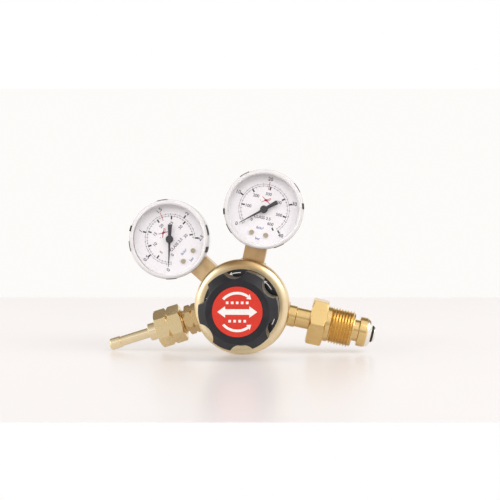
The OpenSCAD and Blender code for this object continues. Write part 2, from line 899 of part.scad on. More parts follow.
// Toothed sector with its arbor and the tail that the link pulls
module gauge_sector() {
    lean = 90 - half_swing;
    pitch_step = 360 / sector_teeth;
    half_cut = (sector_cut - 1) / 2;
    color(brass)
    translate([0, 0, sector_z]) {
        slab(gear_y, gear_y + gear_t) {
            polygon(concat(
                [[0, 0]],
                [for (i = [-half_cut:half_cut]) each tooth(sector_teeth, lean + pitch_step * i)]
            ));
            circle(r = 1.5);
            rotate(lean + 180) {
                translate([0, -0.8])
                    square([tail_arm, 1.6]);
                translate([tail_arm, 0])
                    circle(r = 0.9);
            }
        }
        rod_y(0, 0, arbor_r, front_plate_y + 0.1, back_plate_y + plate_t - 0.1);
        rotate([0, -lean - 180, 0])
            rod_y(tail_arm, 0, 0.45, gear_y + gear_t - 0.1, link_y + link_t + 0.1);
    }
}

// Place of the link's two pivots at rest, as [x, z]
function link_inner() =
    [tail_arm * cos(270 - half_swing), sector_z + tail_arm * sin(270 - half_swing)];
function link_outer() = lug_r * [cos(lug_angle), sin(lug_angle)];

// Link from the sector's tail to the tip of the pressure tube
module gauge_link() {
    a = link_inner();
    b = link_outer();
    color(brass) {
        difference() {
            slab(link_y, link_y + link_t) {
                translate(a)
                    circle(r = 0.95);
                translate(b)
                    circle(r = 0.95);
                translate(a)
                    rotate(atan2(b[1] - a[1], b[0] - a[0]))
                        translate([0, -0.55])
                            square([norm(b - a), 1.1]);
            }
            rod_y(a[0], a[1], 0.45 + 0.07, link_y - eps, link_y + link_t + eps);
        }
        rod_y(b[0], b[1], 0.5, link_y + 0.2, 0.35);
    }
}

// Two plates joined by three pillars, which carry the arbors
module gauge_movement_frame() {
    pillars = [[5.2, -9], [-5.2, -9], [0, 6.3]];
    color(brass)
    difference() {
        union() {
            for (y = [front_plate_y, back_plate_y])
                slab(y, y + plate_t)
                    polygon([
                        [-4.5, block_top], [4.5, block_top], [6.4, -11], [6.4, -7.5],
                        [2.4, 6.5], [1.2, 7.7], [-1.2, 7.7], [-2.4, 6.5], [-6.4, -7.5], [-6.4, -11]
                    ]);
            for (p = pillars)
                rod_y(p[0], p[1], 0.75, front_plate_y + 0.4, back_plate_y + 0.4);
        }
        for (z = [0, sector_z])
            rod_y(0, z, arbor_r + slide_gap, front_plate_y - eps, back_plate_y + plate_t + eps);
    }
}

// Section of the flattened pressure tube, as [radius, depth] points about its middle radius
function tube_section(half_r, half_y, corner) = [
    for (s = [[1, -1], [1, 1], [-1, 1], [-1, -1]])
        let (
            flat_end = [tube_mean_r + s[0] * (half_r - corner), s[1] * half_y],
            side_end = [tube_mean_r + s[0] * half_r, s[1] * (half_y - corner)]
        )
        each (s[0] * s[1] < 0 ? [flat_end, side_end] : [side_end, flat_end])
];

// Curved tube segment between two angles in the XZ plane
module tube_arc(outline, from_angle, to_angle) {
    along_y()
        rotate_extrude(angle = to_angle - from_angle, start = -to_angle)
            polygon(outline);
}

// Curved pressure tube with its closed tip and the lug for the link
module gauge_bourdon_tube() {
    wall = 0.35;
    b = link_outer();
    color(bronze) {
        difference() {
            tube_arc(tube_section(tube_half_r, tube_half_y, 0.6), tube_tip_angle, tube_root_angle);
            tube_arc(tube_section(tube_half_r - wall, tube_half_y - wall, 0.5),
                tube_tip_angle + 3, tube_root_angle + 1);
        }
        difference() {
            slab(-0.2, 0.4) {
                translate(b)
                    circle(r = 1.2);
                translate(b)
                    rotate(lug_angle + 90 + 4)
                        translate([0, -1])
                            square([3.6, 2]);
            }
            rod_y(b[0], b[1], 0.6, -eps, eps);
        }
    }
}

// Square socket: threaded spigot, stem, block inside the case and the dial's pad
module gauge_socket() {
    half = stem_w / 2;
    color(brass)
    difference() {
        union() {
            translate([-half, -half, stem_foot])
                cube([stem_w, stem_w, block_top - stem_foot]);
            translate([0, 0, spigot_foot])
                cylinder(r = port_r - slide_gap, h = stem_foot - spigot_foot + 1);
            translate([-half, dial_y + dial_t, -17.5])
                cube([stem_w, 3.2, block_top + 17.5]);
            translate([-half, dial_y + dial_t, -16])
                cube([stem_w, 2.1, 2.4]);
        }
        translate([0, 0, spigot_foot - eps])
            cylinder(r = 1.2, h = -tube_mean_r - spigot_foot + eps);
        tube_arc(tube_section(tube_half_r + slide_gap, tube_half_y + slide_gap, 0.6), 238, 274);
        for (side = [-1, 1])
            rod_y(side * screw_x, screw_z, 1, dial_y - eps, -7.4);
    }
}

// Rubber plug that blows out of the case's back if the pressure tube bursts
module gauge_blowout_plug() {
    color(rubber)
    turned([
        [0, case_back_y - 1.8], [3.2, case_back_y - 1.8], [3.6, case_back_y - case_t],
        [3.15, case_back_y - case_t], [3.15, case_back_y], [4.4, case_back_y],
        [4, case_back_y + 0.8], [0, case_back_y + 0.8]
    ]);
}

// Puts a gauge piece on the high-pressure port
module on_inlet_gauge() {
    placed()
        at_gauge(inlet_gauge_angle)
            children();
}

// Puts a gauge piece on the low-pressure port
module on_outlet_gauge() {
    placed()
        at_gauge(outlet_gauge_angle)
            children();
}

body();
valve_cap();
cap_seal();
valve_nozzle();
valve_poppet();
poppet_spring();
diaphragm();
slip_ring();
diaphragm_plate();
diaphragm_nut();
main_spring();
spring_button();
adjusting_screw();
bonnet();
bonnet_label();
knob();
knob_disc();
inlet_nipple();
inlet_filter();
inlet_nut();
inlet_o_ring();
outlet_adapter();
outlet_nut();
hose_tail();
on_inlet_gauge() gauge_case();  // inlet_gauge_case
on_inlet_gauge() gauge_lens();  // inlet_gauge_lens
on_inlet_gauge() gauge_lens_seal();  // inlet_gauge_lens_seal
on_inlet_gauge() gauge_dial();  // inlet_gauge_dial
on_inlet_gauge() gauge_dial_screws();  // inlet_gauge_dial_screws
on_inlet_gauge() gauge_pointer();  // inlet_gauge_pointer
on_inlet_gauge() gauge_pinion_arbor();  // inlet_gauge_pinion_arbor
on_inlet_gauge() gauge_hairspring();  // inlet_gauge_hairspring
on_inlet_gauge() gauge_sector();  // inlet_gauge_sector
on_inlet_gauge() gauge_link();  // inlet_gauge_link
on_inlet_gauge() gauge_movement_frame();  // inlet_gauge_movement_frame
on_inlet_gauge() gauge_bourdon_tube();  // inlet_gauge_bourdon_tube
on_inlet_gauge() gauge_socket();  // inlet_gauge_socket
on_inlet_gauge() gauge_blowout_plug();  // inlet_gauge_blowout_plug
on_outlet_gauge() gauge_case();  // outlet_gauge_case
on_outlet_gauge() gauge_lens();  // outlet_gauge_lens
on_outlet_gauge() gauge_lens_seal();  // outlet_gauge_lens_seal
on_outlet_gauge() gauge_dial();  // outlet_gauge_dial
on_outlet_gauge() gauge_dial_screws();  // outlet_gauge_dial_screws
on_outlet_gauge() gauge_pointer();  // outlet_gauge_pointer
on_outlet_gauge() gauge_pinion_arbor();  // outlet_gauge_pinion_arbor
on_outlet_gauge() gauge_hairspring();  // outlet_gauge_hairspring
on_outlet_gauge() gauge_sector();  // outlet_gauge_sector
on_outlet_gauge() gauge_link();  // outlet_gauge_link
on_outlet_gauge() gauge_movement_frame();  // outlet_gauge_movement_frame
on_outlet_gauge() gauge_bourdon_tube();  // outlet_gauge_bourdon_tube
on_outlet_gauge() gauge_socket();  // outlet_gauge_socket
on_outlet_gauge() gauge_blowout_plug();  // outlet_gauge_blowout_plug
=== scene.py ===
"""Looks of a side-entry gas pressure regulator with two gauges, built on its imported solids."""

import json
import logging
import math
from dataclasses import dataclass, field
from enum import Enum
from typing import Callable, Sequence

import bmesh
import bpy
from bmesh.types import BMEdge, BMesh, BMVert
from bpy.types import NodeSocket, Object
from mathutils import Matrix, Vector

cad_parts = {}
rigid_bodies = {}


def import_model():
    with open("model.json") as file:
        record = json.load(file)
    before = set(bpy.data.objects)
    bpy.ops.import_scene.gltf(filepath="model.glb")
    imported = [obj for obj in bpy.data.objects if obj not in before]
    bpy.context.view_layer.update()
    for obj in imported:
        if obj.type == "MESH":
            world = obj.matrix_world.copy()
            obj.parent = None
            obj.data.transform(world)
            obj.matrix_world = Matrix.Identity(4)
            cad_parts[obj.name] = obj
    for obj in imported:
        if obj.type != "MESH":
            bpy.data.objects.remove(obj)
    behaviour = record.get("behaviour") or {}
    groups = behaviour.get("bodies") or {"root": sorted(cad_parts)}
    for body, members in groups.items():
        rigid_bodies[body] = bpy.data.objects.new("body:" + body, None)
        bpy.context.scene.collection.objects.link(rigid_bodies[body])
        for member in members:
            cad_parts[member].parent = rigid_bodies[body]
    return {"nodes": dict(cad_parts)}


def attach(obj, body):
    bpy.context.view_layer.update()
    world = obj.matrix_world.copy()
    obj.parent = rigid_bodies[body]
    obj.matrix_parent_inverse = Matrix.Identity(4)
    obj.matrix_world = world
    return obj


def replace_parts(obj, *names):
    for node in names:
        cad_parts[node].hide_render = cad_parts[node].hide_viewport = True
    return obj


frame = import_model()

LOG = logging.getLogger("regulator")
MM = 0.001
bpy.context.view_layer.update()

Pair = tuple[float, float]
Triple = tuple[float, float, float]
Colour = Triple
Outline = Sequence[Pair]
Ring = tuple[Callable[[float], float], float]


class Arm(Enum):
    """Angle of each port, from +X towards +Z, in degrees."""

    INLET = -12.5
    HIGH_PRESSURE = 77.5
    LOW_PRESSURE = 137.5
    OUTLET = 197.7


class Grain(Enum):
    """Direction of the fine marks that working a metal leaves on it."""

    TURNED = "rings about the axis"
    DRAWN = "lines along the axis"
    CAST = "no direction"


# Places

# Point where the plane of the ports crosses the adjusting axis, in millimetres.
CENTRE = Vector((1.49, 17.2, 29.4))


def polar(radius: float, angle: float) -> Pair:
    """Point at a radius and an angle in degrees."""
    return radius * math.cos(math.radians(angle)), radius * math.sin(math.radians(angle))


@dataclass(frozen=True)
class Seat:
    """A place on the object with its own axes, in millimetres."""

    matrix: Matrix

    @staticmethod
    def _from_axes(origin: Vector, x: Vector, y: Vector, z: Vector) -> "Seat":
        """Makes a seat from its origin and its three axes."""
        return Seat(Matrix.Translation(origin) @ Matrix((x, y, z)).transposed().to_4x4())

    @staticmethod
    def _rays(angle: float) -> tuple[Vector, Vector]:
        """Direction at an angle from +X towards +Z, and the one to its right as the viewer sees it."""
        cos, sin = polar(1.0, angle)
        return Vector((cos, 0.0, sin)), Vector((sin, 0.0, -cos))

    @staticmethod
    def facing(depth: float = 0.0, angle: float = 90.0, distance: float = 0.0) -> "Seat":
        """Seat that faces the viewer, with Y up along a port's direction.

        Args:
            depth: position along the adjusting axis, negative towards the viewer.
            angle: direction of the seat's Y axis, from +X towards +Z, in degrees.
            distance: distance from the adjusting axis along that direction.

        Returns:
            The seat, with Z pointing at the viewer.
        """
        up, right = Seat._rays(angle)
        origin = CENTRE + up * distance + Vector((0.0, depth, 0.0))
        return Seat._from_axes(origin, right, up, Vector((0.0, -1.0, 0.0)))

    @staticmethod
    def along(arm: Arm, offset: float = 0.0) -> "Seat":
        """Seat on a port's arm, with Z pointing outwards along it.

        Args:
            arm: the port.
            offset: distance of the arm's axis from the line through the adjusting axis.

        Returns:
            The seat.
        """
        out, side = Seat._rays(arm.value)
        return Seat._from_axes(CENTRE + side * offset, side, Vector((0.0, 1.0, 0.0)), out)

    def to_metres(self) -> Matrix:
        """Matrix that takes the seat's millimetres to the shared frame's metres."""
        return Matrix.Scale(MM, 4) @ self.matrix

    def pattern(self) -> tuple[Vector, Triple]:
        """Location and turn that a Mapping node needs to centre a pattern on the seat."""
        back = self.matrix.to_3x3().transposed()
        return -(back @ (self.matrix.translation * MM)), tuple(back.to_euler("XYZ"))


# Materials


class Signal:
    """A number that flows through a material, with Python's operators."""

    def __init__(self, kit: "NodeKit", socket: NodeSocket) -> None:
        self.kit = kit
        self.socket = socket

    def _math(self, operation: str, *values: object) -> "Signal":
        """Adds a Math node on these values."""
        node = self.kit.add("ShaderNodeMath", dict(enumerate(values)), {"operation": operation})
        return Signal(self.kit, node.outputs[0])

    def __add__(self, other: object) -> "Signal":
        """self + other."""
        return self._math("ADD", self, other)

    def __sub__(self, other: object) -> "Signal":
        """self - other."""
        return self._math("SUBTRACT", self, other)

    def __rsub__(self, other: object) -> "Signal":
        """other - self."""
        return self._math("SUBTRACT", other, self)

    def __mul__(self, other: object) -> "Signal":
        """self * other."""
        return self._math("MULTIPLY", self, other)

    def __truediv__(self, other: object) -> "Signal":
        """self / other."""
        return self._math("DIVIDE", self, other)

    def __pow__(self, other: object) -> "Signal":
        """self ** other."""
        return self._math("POWER", self, other)

    __radd__ = __add__
    __rmul__ = __mul__

    def at_most(self, other: object) -> "Signal":
        """The smaller of the two."""
        return self._math("MINIMUM", self, other)

    def at_least(self, other: object) -> "Signal":
        """The larger of the two."""
        return self._math("MAXIMUM", self, other)

    def over_angle(self, other: object) -> "Signal":
        """Angle whose tangent is self over other, in radians."""
        return self._math("ARCTAN2", self, other)

    def ramp(self, low: float, high: float) -> "Signal":
        """Rises smoothly from 0 at low to 1 at high.

        Args:
            low: value where the ramp starts.
            high: value where it ends, which may be below low.

        Returns:
            The mask, from 0 to 1.
        """
        inputs = {"Value": self, "From Min": min(low, high), "From Max": max(low, high)}
        node = self.kit.add("ShaderNodeMapRange", inputs, {"interpolation_type": "SMOOTHSTEP"})
        found = Signal(self.kit, node.outputs[0])
        return 1.0 - found if high < low else found


Input = Signal | NodeSocket | float | Sequence[float]


class NodeKit:
    """Adds nodes to one node tree."""

    def __init__(self, tree: bpy.types.NodeTree) -> None:
        """Starts on an emptied tree."""
        self.tree = tree
        tree.nodes.clear()

    def add(self, kind: str, inputs: dict | None = None, settings: dict | None = None) -> bpy.types.Node:
        """Adds a node.

        Args:
            kind: the node's type.
            inputs: values or links, by the socket's place, name or identifier.
            settings: its properties, and "stops" for a colour ramp's positions and colours.

        Returns:
            The node.
        """
        node = self.tree.nodes.new(kind)
        for name, value in (settings or {}).items():
            if name == "stops":
                self._set_stops(node.color_ramp, value)
            else:
                setattr(node, name, value)
        for key, value in (inputs or {}).items():
            self._feed(self._socket(node, key), value)
        return node

    @staticmethod
    def _set_stops(ramp: bpy.types.ColorRamp, stops: Sequence[tuple[float, Colour]]) -> None:
        """Gives a colour ramp its positions and colours."""
        while len(ramp.elements) < len(stops):
            ramp.elements.new(0.5)
        for element, (position, colour) in zip(ramp.elements, stops):
            element.position = position
            element.color = (*colour, 1.0)

    @staticmethod
    def _socket(node: bpy.types.Node, key: int | str) -> NodeSocket:
        """Finds an input by its place, identifier or name."""
        return next((socket for socket in node.inputs if socket.identifier == key), None) or node.inputs[key]

    def _feed(self, socket: NodeSocket, value: Input) -> None:
        """Links a signal to a socket, or sets the socket's own value."""
        if isinstance(value, Signal):
            value = value.socket
        if isinstance(value, NodeSocket):
            self.tree.links.new(value, socket)
        elif isinstance(value, (int, float)):
            socket.default_value = value
        else:
            given = tuple(value)
            socket.default_value = given if len(given) == len(socket.default_value) else (*given, 1.0)

    def place(self, seat: Seat | None = None) -> NodeSocket:
        """Object coordinates in metres, centred and turned to a seat where one is given."""
        here = self.add("ShaderNodeTexCoord").outputs["Object"]
        if seat is None:
            return here
        location, turn = seat.pattern()
        inputs = {"Vector": here, "Location": location, "Rotation": turn}
        return self.add("ShaderNodeMapping", inputs).outputs[0]

    def split(self, vector: NodeSocket) -> tuple[Signal, Signal, Signal]:
        """The three parts of a vector."""
        return tuple(Signal(self, out) for out in self.add("ShaderNodeSeparateXYZ", {0: vector}).outputs)

    def combine(self, x: Input, y: Input, z: Input) -> NodeSocket:
        """A vector from three numbers."""
        return self.add("ShaderNodeCombineXYZ", {0: x, 1: y, 2: z}).outputs[0]

    def dot(self, vector: NodeSocket, axis: Vector) -> Signal:
        """How far a vector reaches along an axis."""
        node = self.add("ShaderNodeVectorMath", {0: vector, 1: tuple(axis)}, {"operation": "DOT_PRODUCT"})
        return Signal(self, node.outputs["Value"])

    def noise(self, vector: object, scale: float, detail: float = 2.0, roughness: float = 0.5) -> Signal:
        """Noise from 0 to 1.

        Args:
            vector: where it is read.
            scale: marks per metre.
            detail: octaves.
            roughness: strength of the finer octaves.

        Returns:
            The noise.
        """
        inputs = {"Vector": vector, "Scale": scale, "Detail": detail, "Roughness": roughness}
        return Signal(self, self.add("ShaderNodeTexNoise", inputs).outputs["Fac"])

    def blend(self, mask: Input, low: Input, high: Input) -> NodeSocket:
        """Mixes two colours by a mask."""
        inputs = {"Factor_Float": mask, "A_Color": low, "B_Color": high}
        node = self.add("ShaderNodeMix", inputs, {"data_type": "RGBA"})
        return next(out for out in node.outputs if out.identifier == "Result_Color")

    def bump(self, height: Signal, distance: float) -> NodeSocket:
        """Normal of a surface whose height from 0 to 1 stands out by a distance in metres."""
        return self.add("ShaderNodeBump", {"Height": height, "Distance": distance}).outputs[0]

    def surface(self, inputs: dict) -> None:
        """Ends a material in a Principled shader with these inputs."""
        shader = self.add("ShaderNodeBsdfPrincipled", inputs)
        self.add("ShaderNodeOutputMaterial", {"Surface": shader.outputs[0]})


@dataclass(frozen=True)
class Finish:
    """A surface finish, which makes one material."""

    name: str

    def material(self) -> bpy.types.Material:
        """The material, made once for each name."""
        found = bpy.data.materials.get(self.name)
        if found is None:
            found = bpy.data.materials.new(self.name)
            found.use_nodes = True
            self.paint(NodeKit(found.node_tree))
        return found

    def paint(self, kit: NodeKit) -> None:
        """Builds the nodes."""
        raise NotImplementedError

    def dress(self, *nodes: str) -> None:
        """Gives this finish to CAD nodes that stay in the picture.

        Args:
            nodes: names of the nodes.
        """
        for name in nodes:
            slots = frame["nodes"][name].data.materials
            slots.clear()
            slots.append(self.material())


@dataclass(frozen=True)
class Metal(Finish):
    """Bare metal with the marks of its working, a little handling stain, and a band of painted light and shade
    where one is given.
    """

    colour: Colour
    dark: Colour
    roughness: float
    grain: Grain
    seat: Seat | None = None
    pitch: float = 0.00018
    depth: float = 0.000004
    stain: float = 0.35
    painted_light: Colour | None = None
    painted_light_way: Triple = (0.05, 1.0, 0.0)
    painted_light_span: Pair = (20.5, 26.2)

    def paint(self, kit: NodeKit) -> None:
        """Rings or lines of the tool, soft stain, a slightly uneven polish and the band of painted light and shade.
        """
        here = kit.place(self.seat)
        x, y, z = kit.split(here)
        lines_at = here
        if self.grain is Grain.TURNED:
            lines_at = kit.combine((x * x + y * y) ** 0.5, z, 0.0)
        elif self.grain is Grain.DRAWN:
            lines_at = kit.combine(x, y, z * 0.03)
        lines = kit.noise(lines_at, 1.0 / self.pitch, 3.0, 0.6)
        broad = kit.noise(lines_at, 0.16 / self.pitch)
        blotch = kit.noise(here, 150.0, 3.0, 0.55)
        specks = kit.noise(here, 1400.0)
        mask = (blotch.ramp(0.42, 0.72) * 0.7 + broad.ramp(0.45, 0.75) * 0.3) * self.stain
        colour = kit.blend(mask, self.colour, self.dark)
        # Painted light and shade: the given colour is blended in along one direction over a span. It paints a
        # highlight on the inlet's nose and a shade on the bonnet's top.
        if self.painted_light is not None:
            reach = x * self.painted_light_way[0] + y * self.painted_light_way[1] + z * self.painted_light_way[2]
            start, full = (end * MM for end in self.painted_light_span)
            painted_light_cover = (reach + (blotch - 0.5) * (full - start) * 0.5).ramp(start, full)
            colour = kit.blend(painted_light_cover * 0.85, colour, self.painted_light)
        kit.surface({
            "Base Color": colour,
            "Metallic": 1.0,
            "Roughness": self.roughness + (broad - 0.5) * 0.10 + mask * 0.16 + specks.ramp(0.6, 0.8) * 0.05,
            "Normal": kit.bump(lines * 0.75 + broad * 0.25, self.depth),
        })


@dataclass(frozen=True)
class Moulded(Finish):
    """Moulded plastic or rubber with a fine spark-eroded grain."""

    colour: Colour
    worn: Colour
    roughness: float
    coat: float = 0.0
    grain_depth: float = 0.00001
    grain_scale: float = 2600.0
    specular: float = 0.5

    def paint(self, kit: NodeKit) -> None:
        """Fine grain, a little unevenness in the gloss and paler rubbed patches."""
        here = kit.place()
        grain = kit.noise(here, self.grain_scale, 3.0, 0.6)
        patch = kit.noise(here, 120.0, 3.0).ramp(0.45, 0.75)
        kit.surface({
            "Base Color": kit.blend(patch * 0.45, self.colour, self.worn),
            "Roughness": self.roughness + (grain - 0.5) * 0.12 + patch * 0.06,
            "Coat Weight": self.coat,
            "Specular IOR Level": self.specular,
            "Normal": kit.bump(grain, self.grain_depth),
        })


@dataclass(frozen=True)
class Print(Finish):
    """Printing ink or a printed ground."""

    colour: Colour
    roughness: float = 0.5
    coat: float = 0.0
    specular: float = 0.2

    def paint(self, kit: NodeKit) -> None:
        """A flat ink film with a faint mottle."""
        mottle = kit.noise(kit.place(), 900.0)
        pale = tuple(min(1.0, part * 1.06 + 0.004) for part in self.colour)
        kit.surface({
            "Base Color": kit.blend(mottle.ramp(0.35, 0.7), self.colour, pale),
            "Roughness": self.roughness + (mottle - 0.5) * 0.1,
            "Coat Weight": self.coat,
            "Specular IOR Level": self.specular,
        })


@dataclass(frozen=True)
class Clear(Finish):
    """Clear moulded lens: it mirrors a little at every angle, and at its edge it has a painted highlight, a milky
    white band, with a painted dark line at the very rim.
    """

    seat: Seat
    window: Colour = (1.0, 1.0, 1.0)
    # Colours of the painted highlight at the lens's edge and of the painted dark line at its very rim.
    rim_highlight: Colour = (0.83, 0.815, 0.82)
    rim_dark_line: Colour = (0.42, 0.42, 0.43)
    rim_highlight_span: Pair = (20.9, 22.9)
    rim_dark_line_span: Pair = (24.2, 24.7)
    mirror: float = 0.035

    def paint(self, kit: NodeKit) -> None:
        """A mirror as weak as bare plastic over the window, and at the edge a milky painted highlight band with a
        grey painted dark line outside it.
        """
        x, y, _ = kit.split(kit.place(self.seat))
        radius = (x * x + y * y) ** 0.5
        # Masks of the painted highlight band at the lens's edge and of the painted dark line at its very rim.
        edge, rim = (radius.ramp(*(end * MM for end in span)) for span in (self.rim_highlight_span, self.rim_dark_line_span))
        slant = Signal(kit, kit.add("ShaderNodeLayerWeight", {"Blend": 0.5}).outputs["Facing"])
        glance = slant ** 5.0 * (1.0 - self.mirror) + self.mirror
        kit.surface({
            "Base Color": kit.blend(rim, kit.blend(edge, self.window, self.rim_highlight), self.rim_dark_line),
            "Metallic": 1.0 - edge,
            "Roughness": 0.03 + edge * 0.12,
            "Alpha": (glance * 0.85 + edge * 0.62).at_most(0.95),
            "Normal": kit.bump(kit.noise(kit.place(), 260.0, 1.0, 0.4), 0.00001),
        })


@dataclass(frozen=True)
class Table(Finish):
    """Pale, slightly glossy studio table, lit through from below."""

    colour: Colour
    glow: Colour

    def paint(self, kit: NodeKit) -> None:
        """A smooth translucent sheet with faint unevenness in its gloss and its light."""
        mottle = kit.noise(kit.place(), 9.0)
        kit.surface({
            "Base Color": self.colour,
            "Roughness": 0.26 + mottle * 0.06,
            "Specular IOR Level": 0.25,
            "Emission Color": kit.blend(mottle, self.glow, tuple(part * 1.02 for part in self.glow)),
            "Emission Strength": 1.0,
        })


# Meshes


def link(name: str, data: bpy.types.ID) -> Object:
    """Adds an object with this data to the scene."""
    made = bpy.data.objects.new(name, data)
    bpy.context.scene.collection.objects.link(made)
    return made


def settle(name: str, bm: BMesh) -> bpy.types.Mesh:
    """Turns a bmesh into a mesh, and frees it."""
    mesh = bpy.data.meshes.new(name)
    bm.to_mesh(mesh)
    bm.free()
    return mesh


class Skin:
    """A mesh under construction in a seat's millimetres."""

    def __init__(self, seat: Seat) -> None:
        """Starts an empty mesh on a seat."""
        self.seat = seat
        self.bm = bmesh.new()

    def line(self, points: Outline) -> list:
        """Adds an open line through points of a radius and a height; returns its vertices and edges."""
        verts = [self.bm.verts.new((r, 0.0, z)) for r, z in points]
        return verts + [self.bm.edges.new(pair) for pair in zip(verts, verts[1:])]

    def sector(self, radii: Pair, levels: Pair, start: float, end: float) -> None:
        """Adds part of a flat ring, closed at both ends.

        Args:
            radii: its inner and outer radius.
            levels: heights of its underside and its top.
            start: first angle, in degrees.
            end: last angle, in degrees.
        """
        ray = Vector((*polar(1.0, start), 0.0))
        (inner, outer), (low, high) = radii, levels
        corners = ((inner, low), (outer, low), (outer, high), (inner, high))
        face = self.bm.faces.new([self.bm.verts.new(ray * r + Vector((0, 0, z))) for r, z in corners])
        bmesh.ops.spin(
            self.bm, geom=[face, *face.verts, *face.edges], cent=(0, 0, 0), axis=(0, 0, 1), dvec=(0, 0, 0),
            angle=math.radians(end - start), steps=max(2, round(abs(end - start) / 3.0)),
            use_merge=False, use_duplicate=False,
        )

    def rings(self, rings: Sequence[Ring], segments: int) -> None:
        """Grows a closed skin through rings that need not be round.

        Args:
            rings: for each, its radius in every direction, and its height.
            segments: vertices of each ring.
        """
        order = self.bm.verts.layers.int.new("order")
        bmesh.ops.create_circle(self.bm, cap_ends=False, segments=segments, radius=1.0)
        first = verts = self.bm.verts[:]
        edges = self.bm.edges[:]
        for place, v in enumerate(first):
            v[order] = place
        for number, (radius, height) in enumerate(rings):
            if number > 0:
                grown = bmesh.ops.extrude_edge_only(self.bm, edges=edges)["geom"]
                fresh = {g for g in grown if isinstance(g, BMVert)}
                edges = [g for g in grown if isinstance(g, BMEdge) and all(v in fresh for v in g.verts)]
                verts = sorted(fresh, key=lambda v: v[order])
            for v in verts:
                angle = 360.0 * v[order] / segments
                v.co = (*polar(radius(angle), angle), height)
        rim = dict.fromkeys(e for v in first for e in v.link_edges if e.is_boundary)
        bmesh.ops.bridge_loops(self.bm, edges=[*rim, *edges])

    def finish(self, name: str, slot: str, finish: Finish, body: str = "root", smooth: float = 30.0) -> Object:
        """Makes the object, in the shared frame's metres.

        Args:
            name: its name.
            slot: the record's material slot; not used.
            finish: its finish.
            body: the CAD body that it rides on.
            smooth: angle between faces up to which shading is smooth, in degrees.

        Returns:
            The object.
        """
        bmesh.ops.remove_doubles(self.bm, verts=self.bm.verts, dist=1e-5)
        bmesh.ops.recalc_face_normals(self.bm, faces=self.bm.faces)
        bmesh.ops.transform(self.bm, matrix=self.seat.to_metres(), verts=self.bm.verts)
        return self._object(name, slot, finish, body, smooth)

    def _object(self, name: str, slot: str, finish: Finish, body: str, smooth: float = 30.0) -> Object:
        """Turns the mesh into a linked, riding, painted object."""
        mesh = settle(name, self.bm)
        mesh.polygons.foreach_set("use_smooth", [True] * len(mesh.polygons))
        mesh.set_sharp_from_angle(angle=math.radians(smooth))
        mesh.materials.append(finish.material())
        made = link(name, mesh)
        flats = made.modifiers.new("flat_faces_stay_flat", "WEIGHTED_NORMAL")
        flats.weight = 100
        flats.keep_sharp = True
        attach(made, body)
        LOG.info("%s: %d faces", name, len(mesh.polygons))
        return made


@dataclass(frozen=True)
class Arrow:
    """A bent arrow: its middle radius, half its line's and its head's width, and the degrees of its head."""

    radius: float
    half_line: float
    half_head: float
    head: float
    overlap: float = 0.5


class Printing(Skin):
    """Thin raised print on a seat's plane."""

    thickness = 0.03
    capital_share = 0.7
    stroke_gain = 0.03

    def bar(self, size: Pair, centre: Pair, turn: float = 0.0, lean: float = 0.0) -> None:
        """Adds a bar.

        Args:
            size: its length and width.
            centre: its middle, before it turns about the seat's axis.
            turn: that turn, in degrees.
            lean: its turn about its own middle, in degrees.
        """
        about_axis, about_middle = (Matrix.Rotation(math.radians(a), 4, "Z") for a in (turn, lean))
        place = about_axis @ Matrix.Translation((*centre, self.thickness / 2)) @ about_middle
        bmesh.ops.create_cube(self.bm, size=1.0, matrix=place @ Matrix.Diagonal((*size, self.thickness, 1.0)))

    def tick(self, angle: float, inner: float, outer: float, width: float) -> None:
        """Adds a radial mark from one radius to another, at an angle in degrees."""
        self.bar((outer - inner, width), ((inner + outer) / 2, 0.0), angle)

    def arc(self, radius: float, half_width: float, start: float, end: float) -> None:
        """Adds a bent line from one angle to another, in degrees."""
        self.sector((radius - half_width, radius + half_width), (0.0, self.thickness), start, end)

    def plate(self, corners: Outline) -> None:
        """Adds a flat plate of any outline.

        Args:
            corners: its outline, in the seat's XY plane.
        """
        face = self.bm.faces.new([self.bm.verts.new((x, y, 0.0)) for x, y in corners])
        top = bmesh.ops.extrude_face_region(self.bm, geom=[face], use_keep_orig=True)["geom"]
        lifted = [v for v in top if isinstance(v, BMVert)]
        bmesh.ops.translate(self.bm, verts=lifted, vec=(0, 0, self.thickness))

    def arrow(self, shape: Arrow, tail: float, tip: float) -> None:
        """Adds an arrow that bends about the seat's axis.

        Args:
            shape: its shape.
            tail: angle where it starts, in degrees.
            tip: angle where it points.
        """
        way = math.copysign(1.0, tip - tail)
        neck = tip - way * shape.head
        self.arc(shape.radius, shape.half_line, tail, neck + way * shape.overlap)
        sides = (shape.radius + shape.half_head, shape.radius - shape.half_head)
        self.plate([polar(shape.radius, tip), *(polar(r, neck) for r in sides)])

    def words(self, text: str, size: float, centre: Pair) -> None:
        """Adds a plain number or unit.

        Args:
            text: what it says.
            size: height of its capitals.
            centre: its middle, in the seat's XY plane.
        """
        curve = bpy.data.curves.new("lettering", "FONT")
        curve.body = text
        curve.size = size / self.capital_share
        curve.extrude = self.thickness / 2
        curve.offset = size * self.stroke_gain
        curve.resolution_u = 3
        carrier = link("lettering", curve)
        bpy.context.view_layer.update()
        mesh = bpy.data.meshes.new_from_object(carrier.evaluated_get(bpy.context.evaluated_depsgraph_get()))
        bpy.data.objects.remove(carrier)
        bpy.data.curves.remove(curve)
        start = len(self.bm.verts)
        self.bm.from_mesh(mesh)
        bpy.data.meshes.remove(mesh)
        self.bm.verts.ensure_lookup_table()
        verts = self.bm.verts[start:]
        middle = [(min(v.co[i] for v in verts) + max(v.co[i] for v in verts)) / 2 for i in range(2)]
        shift = Vector((*centre, 0.0)) - Vector((*middle, -self.thickness / 2))
        bmesh.ops.translate(self.bm, vec=shift, verts=verts)


